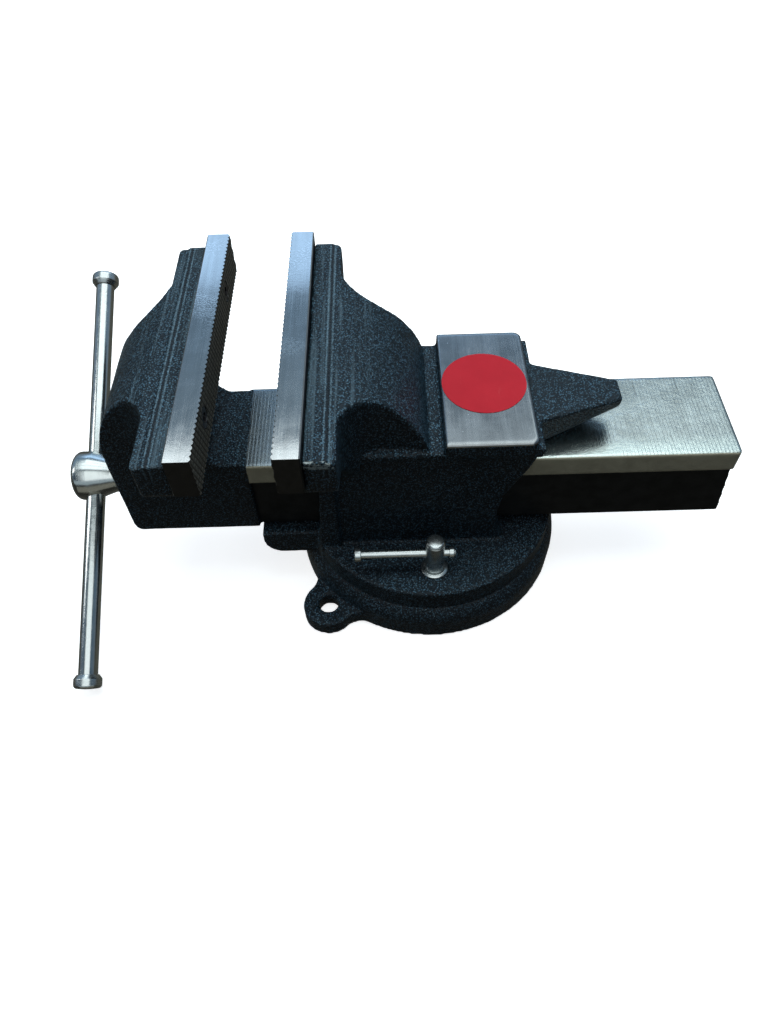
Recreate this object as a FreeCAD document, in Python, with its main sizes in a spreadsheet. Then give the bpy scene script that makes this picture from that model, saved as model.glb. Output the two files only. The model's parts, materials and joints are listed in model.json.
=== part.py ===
import FreeCAD, Part
import math
import os

import Sketcher
from FreeCAD import Rotation, Vector

# Bench vise with a swivel base. Millimetres. The origin is on the swivel axis at the underside of
# the base, +Z is up, and the slide and the lead screw run along X: the screw handle is at -X, the
# tail of the slide is at +X, and the jaws are 200 mm wide along Y.

DOCUMENT = FreeCAD.newDocument("bench_vise")
SHEET = DOCUMENT.addObject("Spreadsheet::Sheet", "dims")


class Size:
    """A number together with the spreadsheet expression that gives it."""

    def __init__(self, value, text):
        self.value = value
        self.text = text

    def __add__(self, other):
        return combine(self, "+", other, lambda a, b: a + b)

    def __radd__(self, other):
        return combine(other, "+", self, lambda a, b: a + b)

    def __sub__(self, other):
        return combine(self, "-", other, lambda a, b: a - b)

    def __rsub__(self, other):
        return combine(other, "-", self, lambda a, b: a - b)

    def __mul__(self, other):
        return combine(self, "*", other, lambda a, b: a * b)

    def __rmul__(self, other):
        return combine(other, "*", self, lambda a, b: a * b)

    def __truediv__(self, other):
        return combine(self, "/", other, lambda a, b: a / b)

    def __neg__(self):
        return 0 - self


def as_size(item):
    """A plain number as a Size."""
    if isinstance(item, Size):
        return item
    return Size(float(item), f"{float(item):.6g}")


def combine(left, sign, right, rule):
    """The Size of a sum, difference, product or quotient."""
    left = as_size(left)
    right = as_size(right)
    return Size(rule(left.value, right.value), f"({left.text} {sign} {right.text})")


def sine(angle):
    """Sine of an angle in degrees."""
    return Size(math.sin(math.radians(angle.value)), f"sin({angle.text})")


def cosine(angle):
    """Cosine of an angle in degrees."""
    return Size(math.cos(math.radians(angle.value)), f"cos({angle.text})")


def root(size):
    """Square root."""
    return Size(math.sqrt(size.value), f"sqrt({size.text})")


ROW = [0]


def cell(alias, value):
    """Write one driving dimension into the sheet and return it as a Size."""
    ROW[0] += 1
    SHEET.set(f"A{ROW[0]}", alias)
    SHEET.set(f"B{ROW[0]}", str(value))
    SHEET.setAlias(f"B{ROW[0]}", alias)
    return Size(float(value), f"dims.{alias}")


# ---------------------------------------------------------------- driving dimensions

jaw_width = cell("jaw_width", 200)
jaw_top = cell("jaw_top", 201)
opening = cell("opening", 41)
fixed_face = cell("fixed_face", -88.5)
plate_thick = cell("plate_thick", 15)
plate_tall = cell("plate_tall", 28)
jaw_drop = cell("jaw_drop", 7)
jaw_inset = cell("jaw_inset", 3)
jaw_corner = cell("jaw_corner", 5)
band_wide = cell("band_wide", 13)
strip_wide = cell("strip_wide", 8)
fixed_strip_wide = cell("fixed_strip_wide", 4.4)
strip_drop = cell("strip_drop", 1.2)
sweep_radius = cell("sweep_radius", 68)
plate_screw_gap = cell("plate_screw_gap", 112)
plate_screw_drop = cell("plate_screw_drop", 13)
screw_shank = cell("screw_shank", 8)
screw_head = cell("screw_head", 13)
screw_head_room = cell("screw_head_room", 13.2)
screw_head_tall = cell("screw_head_tall", 8)
socket_flats = cell("socket_flats", 6)
plate_screw_reach = cell("plate_screw_reach", 18)

base_radius = cell("base_radius", 96)
base_tall = cell("base_tall", 30)
flange_radius = cell("flange_radius", 91)
flange_tall = cell("flange_tall", 18)
pivot_radius = cell("pivot_radius", 18)
pivot_tall = cell("pivot_tall", 8)
slot_radius = cell("slot_radius", 69.5)
slot_wide = cell("slot_wide", 11)
slot_head_wide = cell("slot_head_wide", 19)
slot_floor = cell("slot_floor", 8)
slot_roof = cell("slot_roof", 18)
lug_circle = cell("lug_circle", 105)
lug_radius = cell("lug_radius", 18.3)
lug_blend = cell("lug_blend", 14)
lug_tall = cell("lug_tall", 13)
lug_hole = cell("lug_hole", 7)
lug_angle = cell("lug_angle", 45)
gap = cell("gap", 0.05)

slide_top = cell("slide_top", 121.4)
slide_half = cell("slide_half", 36)
slide_flange_tall = cell("slide_flange_tall", 17.4)
beam_half = cell("beam_half", 31)
beam_bottom = cell("beam_bottom", 54)
beam_cavity_half = cell("beam_cavity_half", 20)
beam_cavity_top = cell("beam_cavity_top", 98)
slide_tail = cell("slide_tail", 199)
tail_slope = cell("tail_slope", 5.5)
slide_play = cell("slide_play", 0.3)

body_half = cell("body_half", 50)
neck_half = cell("neck_half", 44.6)
neck_root = cell("neck_root", 69)
neck_blend = cell("neck_blend", 27)
body_top = cell("body_top", 144)
body_front = cell("body_front", -77)
wall_recess = cell("wall_recess", 4)
anvil_front = cell("anvil_front", 6.4)
anvil_long = cell("anvil_long", 56.6)
anvil_half = cell("anvil_half", 51)
anvil_top = cell("anvil_top", 152.6)
horn_top = cell("horn_top", 146)
horn_tip = cell("horn_tip", 122)
shelf_front = cell("shelf_front", -119)
shelf_half = cell("shelf_half", 41)
shelf_tall = cell("shelf_tall", 22.4)

nose_front = cell("nose_front", -209)
nose_half = cell("nose_half", 34.5)
nose_wall = cell("nose_wall", 19)
throat_radius = cell("throat_radius", 15)
head_front = cell("head_front", -251.6)
head_long = cell("head_long", 36.6)
bar_setback = cell("bar_setback", 13.6)
head_radius = cell("head_radius", 17.5)
head_corner = cell("head_corner", 5)
head_waist = cell("head_waist", 12.2)
head_shoulder = cell("head_shoulder", 16.5)
waist_bend = cell("waist_bend", 28)
screw_axis = cell("screw_axis", 75)
neck_radius = cell("neck_radius", 14.2)
thread_radius = cell("thread_radius", 14)
thread_depth = cell("thread_depth", 2.6)
thread_pitch = cell("thread_pitch", 6)
thread_start = cell("thread_start", -160)
thread_turns = cell("thread_turns", 50)
screw_end = cell("screw_end", 145)
boss_radius = cell("boss_radius", 20)
boss_tall = cell("boss_tall", 3)
collar_middle = cell("collar_middle", -172.5)
collar_long = cell("collar_long", 12)
collar_radius = cell("collar_radius", 18.5)
pin_radius = cell("pin_radius", 2.5)
spring_radius = cell("spring_radius", 16.3)
wire_radius = cell("wire_radius", 1.3)

bar_radius = cell("bar_radius", 6.5)
bar_half = cell("bar_half", 153)
bar_shift = cell("bar_shift", 3)
bar_tilt = cell("bar_tilt", 26.2)
cap_radius = cell("cap_radius", 9.5)
cap_long = cell("cap_long", 10)
cap_end = cell("cap_end", 2)
cap_corner = cell("cap_corner", 2.5)

lock_reach = cell("lock_reach", 1.2)
lock_nut_radius = cell("lock_nut_radius", 6.5)
lock_nut_tall = cell("lock_nut_tall", 31)
lock_bar_rise = cell("lock_bar_rise", 19)
lock_bar_radius = cell("lock_bar_radius", 3)
lock_bar_long_end = cell("lock_bar_long_end", 54)
lock_bar_short_end = cell("lock_bar_short_end", 14)
lock_washer_radius = cell("lock_washer_radius", 9.4)
lock_washer_thick = cell("lock_washer_thick", 2.4)
lock_bolt_radius = cell("lock_bolt_radius", 5)
lock_head_half = cell("lock_head_half", 7.5)
lock_cap_radius = cell("lock_cap_radius", 5)
lock_cap_long = cell("lock_cap_long", 4.5)

nut_centre = cell("nut_centre", -42)
nut_long = cell("nut_long", 44)
nut_half = cell("nut_half", 17)
nut_bolt_gap = cell("nut_bolt_gap", 24)
nut_tall = cell("nut_tall", 41.3)
label_x = cell("label_x", 34)
label_y = cell("label_y", 2.3)
label_radius = cell("label_radius", 27)
label_thick = cell("label_thick", 0.3)

DOCUMENT.recompute()

# ---------------------------------------------------------------- derived places

swivel_face = base_tall + 2 * gap
flange_top = swivel_face + flange_tall
shelf_top = beam_bottom - slide_play
plate_bottom = jaw_top - plate_tall
jaw_roof = jaw_top - jaw_drop
jaw_foot = jaw_top - plate_tall - jaw_drop
jaw_half = jaw_width / 2 - jaw_inset
fixed_seat = fixed_face + plate_thick
movable_face = fixed_face - opening
movable_seat = movable_face - plate_thick
anvil_rear = anvil_front + anvil_long
head_rear = head_front + head_long
inner_wall = nose_front + nose_wall
bar_centre = head_front + bar_setback
lock_y = root(slot_radius * slot_radius - lock_reach * lock_reach)
far = 2 * jaw_width


# ---------------------------------------------------------------- drawing helpers

def bind(item, path, size):
    """Drive one property of an object from the sheet."""
    item.setExpression(path, as_size(size).text)


def new_body(label):
    """An empty body whose Label is the sub-part's name."""
    body = DOCUMENT.addObject("PartDesign::Body", label)
    body.Label = label
    return body


def place(body, x=0, y=0, z=0, axis=None, angle=0):
    """Put a body at a point, turned about an axis by an angle in degrees."""
    if axis is not None:
        body.Placement = FreeCAD.Placement(Vector(), Rotation(axis, as_size(angle).value))
        bind(body, "Placement.Rotation.Angle", angle)
    bind(body, "Placement.Base.x", x)
    bind(body, "Placement.Base.y", y)
    bind(body, "Placement.Base.z", z)


def new_sketch(body, plane, offset=0):
    """A sketch on one of the body's own origin planes, moved along the plane's normal."""
    sketch = body.newObject("Sketcher::SketchObject", f"{body.Label}_sketch")
    origin_plane = [item for item in body.Origin.OriginFeatures if item.Role == plane][0]
    sketch.AttachmentSupport = [(origin_plane, "")]
    sketch.MapMode = "FlatFace"
    bind(sketch, "AttachmentOffset.Base.z", offset)
    return sketch


def fix_point(sketch, geometry, point, x, y):
    """Hold one end or centre of a sketch element at driven coordinates."""
    for kind, size in (("DistanceX", x), ("DistanceY", y)):
        number = sketch.addConstraint(Sketcher.Constraint(kind, -1, 1, geometry, point, size.value))
        bind(sketch, f"Constraints[{number}]", size)


def arc_between(start, end, radius):
    """Arc of a circle. A positive radius runs counter-clockwise from start to end."""
    middle = (start + end) * 0.5
    chord = end - start
    side = Vector(-chord.y, chord.x, 0).normalize()
    height = math.sqrt(radius * radius - chord.Length * chord.Length / 4)
    centre = middle + side * (height if radius > 0 else -height)
    first, last = (start, end) if radius > 0 else (end, start)
    angles = [math.atan2(point.y - centre.y, point.x - centre.x) for point in (first, last)]
    circle = Part.Circle(centre, Vector(0, 0, 1), abs(radius))
    return Part.ArcOfCircle(circle, angles[0], angles[1])


def outline(sketch, corners):
    """A closed loop. A corner (x, y) is reached by a straight run, a corner (x, y, radius) by an
    arc: counter-clockwise for a positive radius, clockwise for a negative one."""
    corners = [tuple(as_size(item) for item in corner) for corner in corners]
    points = [Vector(corner[0].value, corner[1].value, 0) for corner in corners]
    ends = []
    for index, corner in enumerate(corners):
        start = points[index - 1]
        end = points[index]
        if len(corner) == 2:
            edge = sketch.addGeometry(Part.LineSegment(start, end))
            ends.append((edge, 1, 2))
        else:
            edge = sketch.addGeometry(arc_between(start, end, corner[2].value))
            ends.append((edge, 1, 2) if corner[2].value > 0 else (edge, 2, 1))
            radius = Size(abs(corner[2].value), f"abs({corner[2].text})")
            number = sketch.addConstraint(Sketcher.Constraint("Radius", edge, radius.value))
            bind(sketch, f"Constraints[{number}]", radius)
    for index, (edge, first, last) in enumerate(ends):
        before = ends[index - 1]
        sketch.addConstraint(Sketcher.Constraint("Coincident", before[0], before[2], edge, first))
        fix_point(sketch, edge, last, corners[index][0], corners[index][1])


def circle(sketch, x, y, radius):
    """A circle at a driven centre."""
    x, y, radius = as_size(x), as_size(y), as_size(radius)
    centre = Vector(x.value, y.value, 0)
    edge = sketch.addGeometry(Part.Circle(centre, Vector(0, 0, 1), radius.value))
    fix_point(sketch, edge, 3, x, y)
    number = sketch.addConstraint(Sketcher.Constraint("Radius", edge, radius.value))
    bind(sketch, f"Constraints[{number}]", radius)


def box_corners(x_low, x_high, y_low, y_high):
    """The four corners of a rectangle."""
    return [(x_low, y_low), (x_high, y_low), (x_high, y_high), (x_low, y_high)]


def mirrored(corners, flipped=0):
    """A symmetric loop from one half of it. The half is listed counter-clockwise, and flipped says
    which coordinate changes sign in the other half."""
    other = []
    arriving = [corner[2:] for corner in corners[1:]] + [()]
    for corner, arc in zip(reversed(corners), reversed(arriving)):
        place_of_twin = [as_size(corner[0]), as_size(corner[1])]
        place_of_twin[flipped] = -place_of_twin[flipped]
        other.append(tuple(place_of_twin) + arc)
    return corners + other


def settle(body, feature, grows):
    """Recompute, and stop if the feature failed or did nothing."""
    before = body.Tip.Shape.Volume if body.Tip and body.Tip != feature else 0
    body.Tip = feature
    DOCUMENT.recompute()
    if feature.State and "Invalid" in feature.State:
        raise ValueError(f"{feature.Label} failed")
    change = feature.Shape.Volume - before
    if (grows and change <= 0) or (not grows and change >= 0):
        raise ValueError(f"{feature.Label} changed nothing")
    return feature


def extrude(body, kind, sketch, length, symmetric, reverse):
    """A pad or a pocket of a given length."""
    last = body.Tip
    feature = body.newObject(f"PartDesign::{kind}", f"{body.Label}_{kind.lower()}")
    body.Tip = last
    feature.Profile = sketch
    feature.Type = "Length"
    feature.SideType = "Symmetric" if symmetric else "One side"
    feature.Reversed = reverse
    bind(feature, "Length", length)
    return settle(body, feature, kind == "Pad")


def pad(body, sketch, length, symmetric=False, reverse=False):
    """Add material over a sketch."""
    return extrude(body, "Pad", sketch, length, symmetric, reverse)


def pocket(body, sketch, length, symmetric=False, reverse=False):
    """Cut material under a sketch."""
    return extrude(body, "Pocket", sketch, length, symmetric, reverse)


def turn(body, kind, sketch, axis):
    """A full revolution or groove about a sketch axis."""
    last = body.Tip
    feature = body.newObject(f"PartDesign::{kind}", f"{body.Label}_{kind.lower()}")
    body.Tip = last
    feature.Profile = sketch
    feature.ReferenceAxis = (sketch, [axis])
    feature.Angle = 360
    return settle(body, feature, kind == "Revolution")


def round_edges(body, radius, chosen, kind="Fillet"):
    """Fillet or chamfer the edges for which chosen(edge) is true."""
    last = body.Tip
    names = [f"Edge{number + 1}" for number, edge in enumerate(last.Shape.Edges) if chosen(edge)]
    if not names:
        raise ValueError(f"{body.Label}: no edge to round")
    feature = body.newObject(f"PartDesign::{kind}", f"{body.Label}_{kind.lower()}")
    feature.Base = (last, names)
    bind(feature, "Radius" if kind == "Fillet" else "Size", radius)
    body.Tip = feature
    DOCUMENT.recompute()
    if "Invalid" in feature.State or not feature.Shape.isValid():
        raise ValueError(f"{feature.Label} failed")
    return feature


def along(edge, direction):
    """Whether a straight edge runs along a direction."""
    if edge.Curve.TypeId != "Part::GeomLine":
        return False
    return abs(edge.Curve.Direction.dot(direction)) > 0.999


def near(value, target):
    """Whether two coordinates agree within a tenth of a millimetre."""
    return abs(value - as_size(target).value) < 0.1


def flat_at(edge, axis, target):
    """Whether a whole edge lies at one coordinate along an axis."""
    box = edge.BoundBox
    low, high = {"x": (box.XMin, box.XMax), "y": (box.YMin, box.YMax), "z": (box.ZMin, box.ZMax)}[axis]
    return near(low, target) and near(high, target)


def flat_rim(edge, radius):
    """Whether an edge is an arc of a given radius."""
    return edge.Curve.TypeId == "Part::GeomCircle" and near(edge.Curve.Radius, radius)


X_WAY = Vector(1, 0, 0)
Y_WAY = Vector(0, 1, 0)
Z_WAY = Vector(0, 0, 1)


# ---------------------------------------------------------------- swivel base

def lug_outline(side):
    """One bolt lug: a round end on the bolt circle, joined to the disc by two hollow arcs that
    touch both the disc and the round end."""
    reach = base_radius + lug_blend
    swing = lug_radius + lug_blend
    blend_u = (reach * reach - swing * swing + lug_circle * lug_circle) / (2 * lug_circle)
    blend_v = root(reach * reach - blend_u * blend_u)
    disc_u = blend_u * base_radius / reach
    disc_v = blend_v * base_radius / reach
    end_u = lug_circle + (blend_u - lug_circle) * lug_radius / swing
    end_v = blend_v * lug_radius / swing
    root_u = slot_radius + slot_head_wide / 2 + 2
    half = [
        (root_u, -20),
        (disc_u, -disc_v),
        (end_u, -end_v, -lug_blend),
        (lug_circle + lug_radius, -0.001, lug_radius),
    ]
    loop = mirrored(half, 1)
    return [(side * corner[0], side * corner[1]) + corner[2:] for corner in loop]


def make_swivel_base():
    """Round casting with a ring slot for the lock bolts, a centre pivot and two bolt lugs."""
    body = new_body("swivel_base")
    head_in = slot_radius - slot_head_wide / 2
    head_out = slot_radius + slot_head_wide / 2
    neck_in = slot_radius - slot_wide / 2
    neck_out = slot_radius + slot_wide / 2
    profile = new_sketch(body, "XZ_Plane")
    outline(profile, [
        (0, 0),
        (base_radius, 0),
        (base_radius, lug_tall),
        (base_radius - 5, base_tall, 22),
        (neck_out, base_tall),
        (neck_out, slot_roof),
        (head_out, slot_roof),
        (head_out, slot_floor),
        (head_in, slot_floor),
        (head_in, slot_roof),
        (neck_in, slot_roof),
        (neck_in, base_tall),
        (pivot_radius, base_tall),
        (pivot_radius, base_tall + pivot_tall),
        (0, base_tall + pivot_tall),
    ])
    turn(body, "Revolution", profile, "V_Axis")
    lugs = new_sketch(body, "XY_Plane")
    outline(lugs, lug_outline(1))
    outline(lugs, lug_outline(-1))
    pad(body, lugs, lug_tall)
    holes = new_sketch(body, "XY_Plane")
    circle(holes, lug_circle, 0, lug_hole)
    circle(holes, -lug_circle, 0, lug_hole)
    pocket(body, holes, lug_tall, reverse=True)
    place(body, axis=Z_WAY, angle=lug_angle)
    return body


# ---------------------------------------------------------------- castings of the two jaws

def jaw_head_section(narrow, foot):
    """The shape a jaw head keeps, seen along the screw: full width at the top, and an underside
    that sweeps in to the body's half-width."""
    return mirrored([
        (narrow, 20),
        (narrow, foot),
        (jaw_half - 6, jaw_foot, -70),
        (jaw_half, jaw_foot + 6, 6),
        (jaw_half, jaw_top + 20),
    ])


def trim_to(body, plane, kept):
    """Cut away everything outside a loop, seen square to an origin plane."""
    frame = new_sketch(body, plane)
    outline(frame, box_corners(-far, far, -far, far))
    outline(frame, kept)
    pocket(body, frame, 2 * far, symmetric=True)


def plate_screw_holes(body, seat, towards_tail):
    """The two blind holes behind a jaw plate."""
    holes = new_sketch(body, "YZ_Plane", seat)
    for side in (-1, 1):
        circle(holes, side * plate_screw_gap / 2, jaw_top - plate_screw_drop, screw_shank / 2)
    pocket(body, holes, plate_screw_reach, reverse=towards_tail)


def add_fixed_jaw_head(body):
    """Jaw head and the neck that sweeps from it down to the anvil."""
    strip_edge = fixed_seat + band_wide + fixed_strip_wide
    head_back = strip_edge + 0.6
    side_view = new_sketch(body, "XZ_Plane")
    outline(side_view, [
        (body_front + 6, body_top - 19, -60),
        (anvil_front, body_top - 19),
        (anvil_front, body_top - 3),
        (anvil_front - 7, body_top - 3),
        (anvil_front - 9.4, body_top),
        (strip_edge, jaw_roof - strip_drop, sweep_radius),
        (fixed_seat + band_wide + 0.6, jaw_roof - strip_drop),
        (fixed_seat + band_wide, jaw_roof),
        (fixed_seat, jaw_roof),
        (fixed_seat, plate_bottom),
        (fixed_face + 0.5, plate_bottom),
        (fixed_face + 0.5, jaw_foot + 2),
    ])
    pad(body, side_view, 2 * jaw_half, symmetric=True)
    trim_to(body, "XY_Plane", mirrored([
        (-far / 2, -jaw_half - 1),
        (head_back - jaw_corner, -jaw_half - 1),
        (head_back, jaw_corner - jaw_half - 1, jaw_corner),
        (head_back, -neck_root),
        (head_back + neck_blend, -neck_half, -neck_blend),
        (strip_edge + 43.6, 4 - body_half),
        (anvil_front - 4, -body_half),
        (anvil_front + 1, -body_half),
    ], 1))
    trim_to(body, "YZ_Plane", jaw_head_section(body_half, body_top - 19))


def add_fixed_body_block(body):
    """Body with its slanted rear, recessed side walls, swivel flange and guide shelf."""
    block = new_sketch(body, "XZ_Plane")
    outline(block, [
        (body_front - 1, swivel_face),
        (anvil_front + 44, swivel_face),
        (anvil_front + 44, flange_top),
        (anvil_front + 38, flange_top + 12),
        (anvil_front + 38, flange_top + 30),
        (anvil_front + 40.5, flange_top + 47),
        (anvil_front + 53.5, flange_top + 73),
        (anvil_rear + 3, body_top - 6),
        (anvil_rear + 5, horn_top),
        (anvil_front + 10, horn_top),
        (anvil_front + 10, body_top),
        (body_front + 6, body_top),
        (body_front - 1, flange_top),
    ])
    pad(body, block, 2 * body_half, symmetric=True)
    for side in (1, -1):
        recess = new_sketch(body, "XZ_Plane", side * body_half)
        outline(recess, [
            (body_front + 14, flange_top - 1),
            (far / 2, flange_top - 1),
            (far / 2, body_top - 6),
            (body_front + 20, body_top - 6),
            (body_front + 14, body_top - 12, 6),
        ])
        pocket(body, recess, wall_recess, reverse=side < 0)
    flange = new_sketch(body, "XY_Plane", swivel_face)
    circle(flange, 0, 0, flange_radius)
    pad(body, flange, flange_tall)
    shelf_low = shelf_top - shelf_tall
    shelf = new_sketch(body, "XZ_Plane")
    outline(shelf, [
        (body_front + 2, shelf_low),
        (body_front + 2, shelf_top),
        (shelf_front, shelf_top),
        (shelf_front, shelf_low + 14),
        (shelf_front + 14, shelf_low, 14),
    ])
    pad(body, shelf, 2 * shelf_half, symmetric=True)


def add_anvil_and_horn(body):
    """Square anvil block and the flat-topped horn behind it."""
    anvil = new_sketch(body, "XY_Plane", body_top - 4)
    outline(anvil, mirrored([
        (anvil_front, -anvil_half),
        (anvil_rear - 5, -anvil_half),
        (anvil_rear, 5 - anvil_half, 5),
    ], 1))
    pad(body, anvil, anvil_top - body_top + 4)
    horn_sections = []
    for place_x, half, side_low, low in ((anvil_rear, 28, 122, 108), (horn_tip, 9, 141, 135)):
        section = new_sketch(body, "YZ_Plane", place_x)
        outline(section, mirrored([
            (0.5 * half, low),
            (0.92 * half, side_low, 1.2 * half),
            (half, horn_top),
        ]))
        horn_sections.append(section)
    last = body.Tip
    horn = body.newObject("PartDesign::AdditiveLoft", "horn")
    body.Tip = last
    horn.Profile = horn_sections[0]
    horn.Sections = [horn_sections[1]]
    horn.Ruled = True
    settle(body, horn, True)


def cut_fixed_body(body):
    """Slide channel, pivot recess and all bolt holes."""
    channel = new_sketch(body, "YZ_Plane")
    step = slide_top - slide_flange_tall - slide_play
    outline(channel, mirrored([
        (beam_half + slide_play, shelf_top),
        (beam_half + slide_play, step),
        (slide_half + slide_play, step),
        (slide_half + slide_play, slide_top + slide_play),
    ]))
    pocket(body, channel, far, symmetric=True)
    recess = new_sketch(body, "XY_Plane", swivel_face)
    circle(recess, 0, 0, pivot_radius + gap)
    pocket(body, recess, pivot_tall + 1, reverse=True)
    lock_holes = new_sketch(body, "XY_Plane", swivel_face)
    for side in (-1, 1):
        circle(lock_holes, -side * lock_reach, side * lock_y, lock_bolt_radius + 0.3)
    pocket(body, lock_holes, flange_tall, reverse=True)
    bolt_holes = new_sketch(body, "XY_Plane", swivel_face)
    bolt_heads = new_sketch(body, "XY_Plane", swivel_face)
    for side in (-1, 1):
        circle(bolt_holes, nut_centre + side * nut_bolt_gap / 2, 0, screw_shank / 2 + 0.3)
        circle(bolt_heads, nut_centre + side * nut_bolt_gap / 2, 0, screw_head / 2 + 0.4)
    pocket(body, bolt_holes, shelf_top - swivel_face, reverse=True)
    pocket(body, bolt_heads, screw_head_tall + 1, reverse=True)
    plate_screw_holes(body, fixed_seat, True)


def make_fixed_jaw_body():
    """Rear casting: swivel flange, slide channel, jaw head on a swept neck, anvil and horn."""
    body = new_body("fixed_jaw_body")
    add_fixed_jaw_head(body)
    add_fixed_body_block(body)
    add_anvil_and_horn(body)
    cut_fixed_body(body)
    return body


def make_movable_jaw():
    """Front casting: jaw head, nose with the screw bore, and the hollow T-section slide."""
    body = new_body("movable_jaw")
    strip_edge = movable_seat - band_wide - strip_wide
    head_back = strip_edge + 1
    block_rear = movable_face + 9
    throat = movable_seat - 4
    side_view = new_sketch(body, "XZ_Plane")
    outline(side_view, [
        (nose_front, beam_bottom + 6),
        (nose_front + 6, beam_bottom, 6),
        (block_rear, beam_bottom),
        (block_rear, slide_top),
        (throat + throat_radius, slide_top),
        (throat, slide_top + throat_radius, -throat_radius),
        (throat, plate_bottom - 13),
        (movable_seat + 3, plate_bottom - 5),
        (movable_seat + 3, plate_bottom),
        (movable_seat, plate_bottom),
        (movable_seat, jaw_roof),
        (movable_seat - band_wide, jaw_roof),
        (movable_seat - band_wide - 0.6, jaw_roof - strip_drop),
        (strip_edge, jaw_roof - strip_drop),
        (nose_front, screw_axis + 53, sweep_radius),
    ])
    pad(body, side_view, 2 * jaw_half, symmetric=True)
    trim_to(body, "XY_Plane", mirrored([
        (nose_front - 20, -nose_half),
        (strip_edge - 28, -nose_half),
        (head_back, -58, -34),
        (head_back, jaw_corner - jaw_half - 1),
        (head_back + jaw_corner, -jaw_half - 1, jaw_corner),
        (-far / 8, -jaw_half - 1),
    ], 1))
    trim_to(body, "YZ_Plane", jaw_head_section(nose_half, slide_top))
    boss = new_sketch(body, "YZ_Plane", nose_front)
    circle(boss, 0, screw_axis, boss_radius)
    pad(body, boss, boss_tall, reverse=True)
    slide = new_sketch(body, "YZ_Plane", block_rear - 2)
    step = slide_top - slide_flange_tall
    outline(slide, mirrored([
        (beam_half, beam_bottom),
        (beam_half, step),
        (slide_half, step),
        (slide_half, slide_top),
    ]))
    pad(body, slide, slide_tail + tail_slope - block_rear + 2)
    tail = new_sketch(body, "XZ_Plane")
    outline(tail, [
        (slide_tail, slide_top + 1),
        (slide_tail, step),
        (slide_tail + tail_slope, beam_bottom),
        (slide_tail + tail_slope, beam_bottom - 1),
        (slide_tail + tail_slope + 1, beam_bottom - 1),
        (slide_tail + tail_slope + 1, slide_top + 1),
    ])
    pocket(body, tail, far, symmetric=True)
    round_edges(body, 3, lambda edge: along(edge, Z_WAY) and flat_at(edge, "x", slide_tail))
    cavity = new_sketch(body, "YZ_Plane", inner_wall)
    outline(cavity, box_corners(-beam_cavity_half, beam_cavity_half, beam_bottom - 5, beam_cavity_top))
    pocket(body, cavity, slide_tail + tail_slope - inner_wall + 5, reverse=True)
    bore = new_sketch(body, "YZ_Plane", inner_wall)
    circle(bore, 0, screw_axis, neck_radius + gap)
    pocket(body, bore, nose_wall + boss_tall + 5)
    plate_screw_holes(body, movable_seat, False)
    return body


# ---------------------------------------------------------------- jaw plates and socket screws

def make_jaw_plate(label, face, angle):
    """Steel jaw plate. Its toothed face is at local X = 0 and its underside at local Z = 0."""
    body = new_body(label)
    blank = new_sketch(body, "YZ_Plane")
    outline(blank, box_corners(-jaw_width / 2, jaw_width / 2, 0, plate_tall))
    pad(body, blank, plate_thick)
    for radius, depth in ((screw_head_room / 2, screw_head_tall + 0.5), (screw_shank / 2 + 0.3, plate_thick)):
        holes = new_sketch(body, "YZ_Plane")
        for side in (-1, 1):
            circle(holes, side * plate_screw_gap / 2, plate_tall - plate_screw_drop, radius)
        pocket(body, holes, depth, reverse=True)
    round_edges(
        body, 0.8, lambda edge: flat_at(edge, "x", 0) and not flat_rim(edge, screw_head_room / 2), "Chamfer")
    place(body, face, 0, plate_bottom, Z_WAY, angle)
    return body


def make_socket_screw(label, shank_long):
    """Socket head screw. The top of its head is at local Z = 0 and its shank runs down."""
    body = new_body(label)
    profile = new_sketch(body, "XZ_Plane")
    outline(profile, [
        (0, -screw_head_tall - shank_long),
        (screw_shank / 2 - 0.8, -screw_head_tall - shank_long),
        (screw_shank / 2, 0.8 - screw_head_tall - shank_long),
        (screw_shank / 2, -screw_head_tall),
        (screw_head / 2, -screw_head_tall),
        (screw_head / 2, -0.8),
        (screw_head / 2 - 0.8, 0, 0.8),
        (0, 0),
    ])
    turn(body, "Revolution", profile, "V_Axis")
    socket = new_sketch(body, "XY_Plane")
    corner = socket_flats / root(as_size(3))
    outline(socket, [(corner * cosine(as_size(60 * k)), corner * sine(as_size(60 * k))) for k in range(6)])
    pocket(body, socket, screw_head_tall / 2)
    return body


def make_plate_screws(name, face, angle, inward):
    """The two screws of one jaw plate."""
    screws = []
    for end, side in (("near", -1), ("far", 1)):
        screw = make_socket_screw(f"{name}_{end}", plate_thick + plate_screw_reach - screw_head_tall - 1)
        height = jaw_top - plate_screw_drop
        place(screw, face + inward * 0.5, side * plate_screw_gap / 2, height, Y_WAY, angle)
        screws.append(screw)
    return screws


# ---------------------------------------------------------------- lead screw and what rides on it

def turned(label, plane, axis, corners):
    """A body turned about one axis of a sketch."""
    body = new_body(label)
    profile = new_sketch(body, plane)
    outline(profile, corners)
    turn(body, "Revolution", profile, axis)
    return body


def ring_corners(x_low, x_high, bore, radius, bevel):
    """Half section of a plain ring whose rims are bevelled."""
    return [
        (x_low, bore),
        (x_high, bore),
        (x_high, radius - bevel),
        (x_high - bevel, radius),
        (x_low + bevel, radius),
        (x_low, radius - bevel),
    ]


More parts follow.
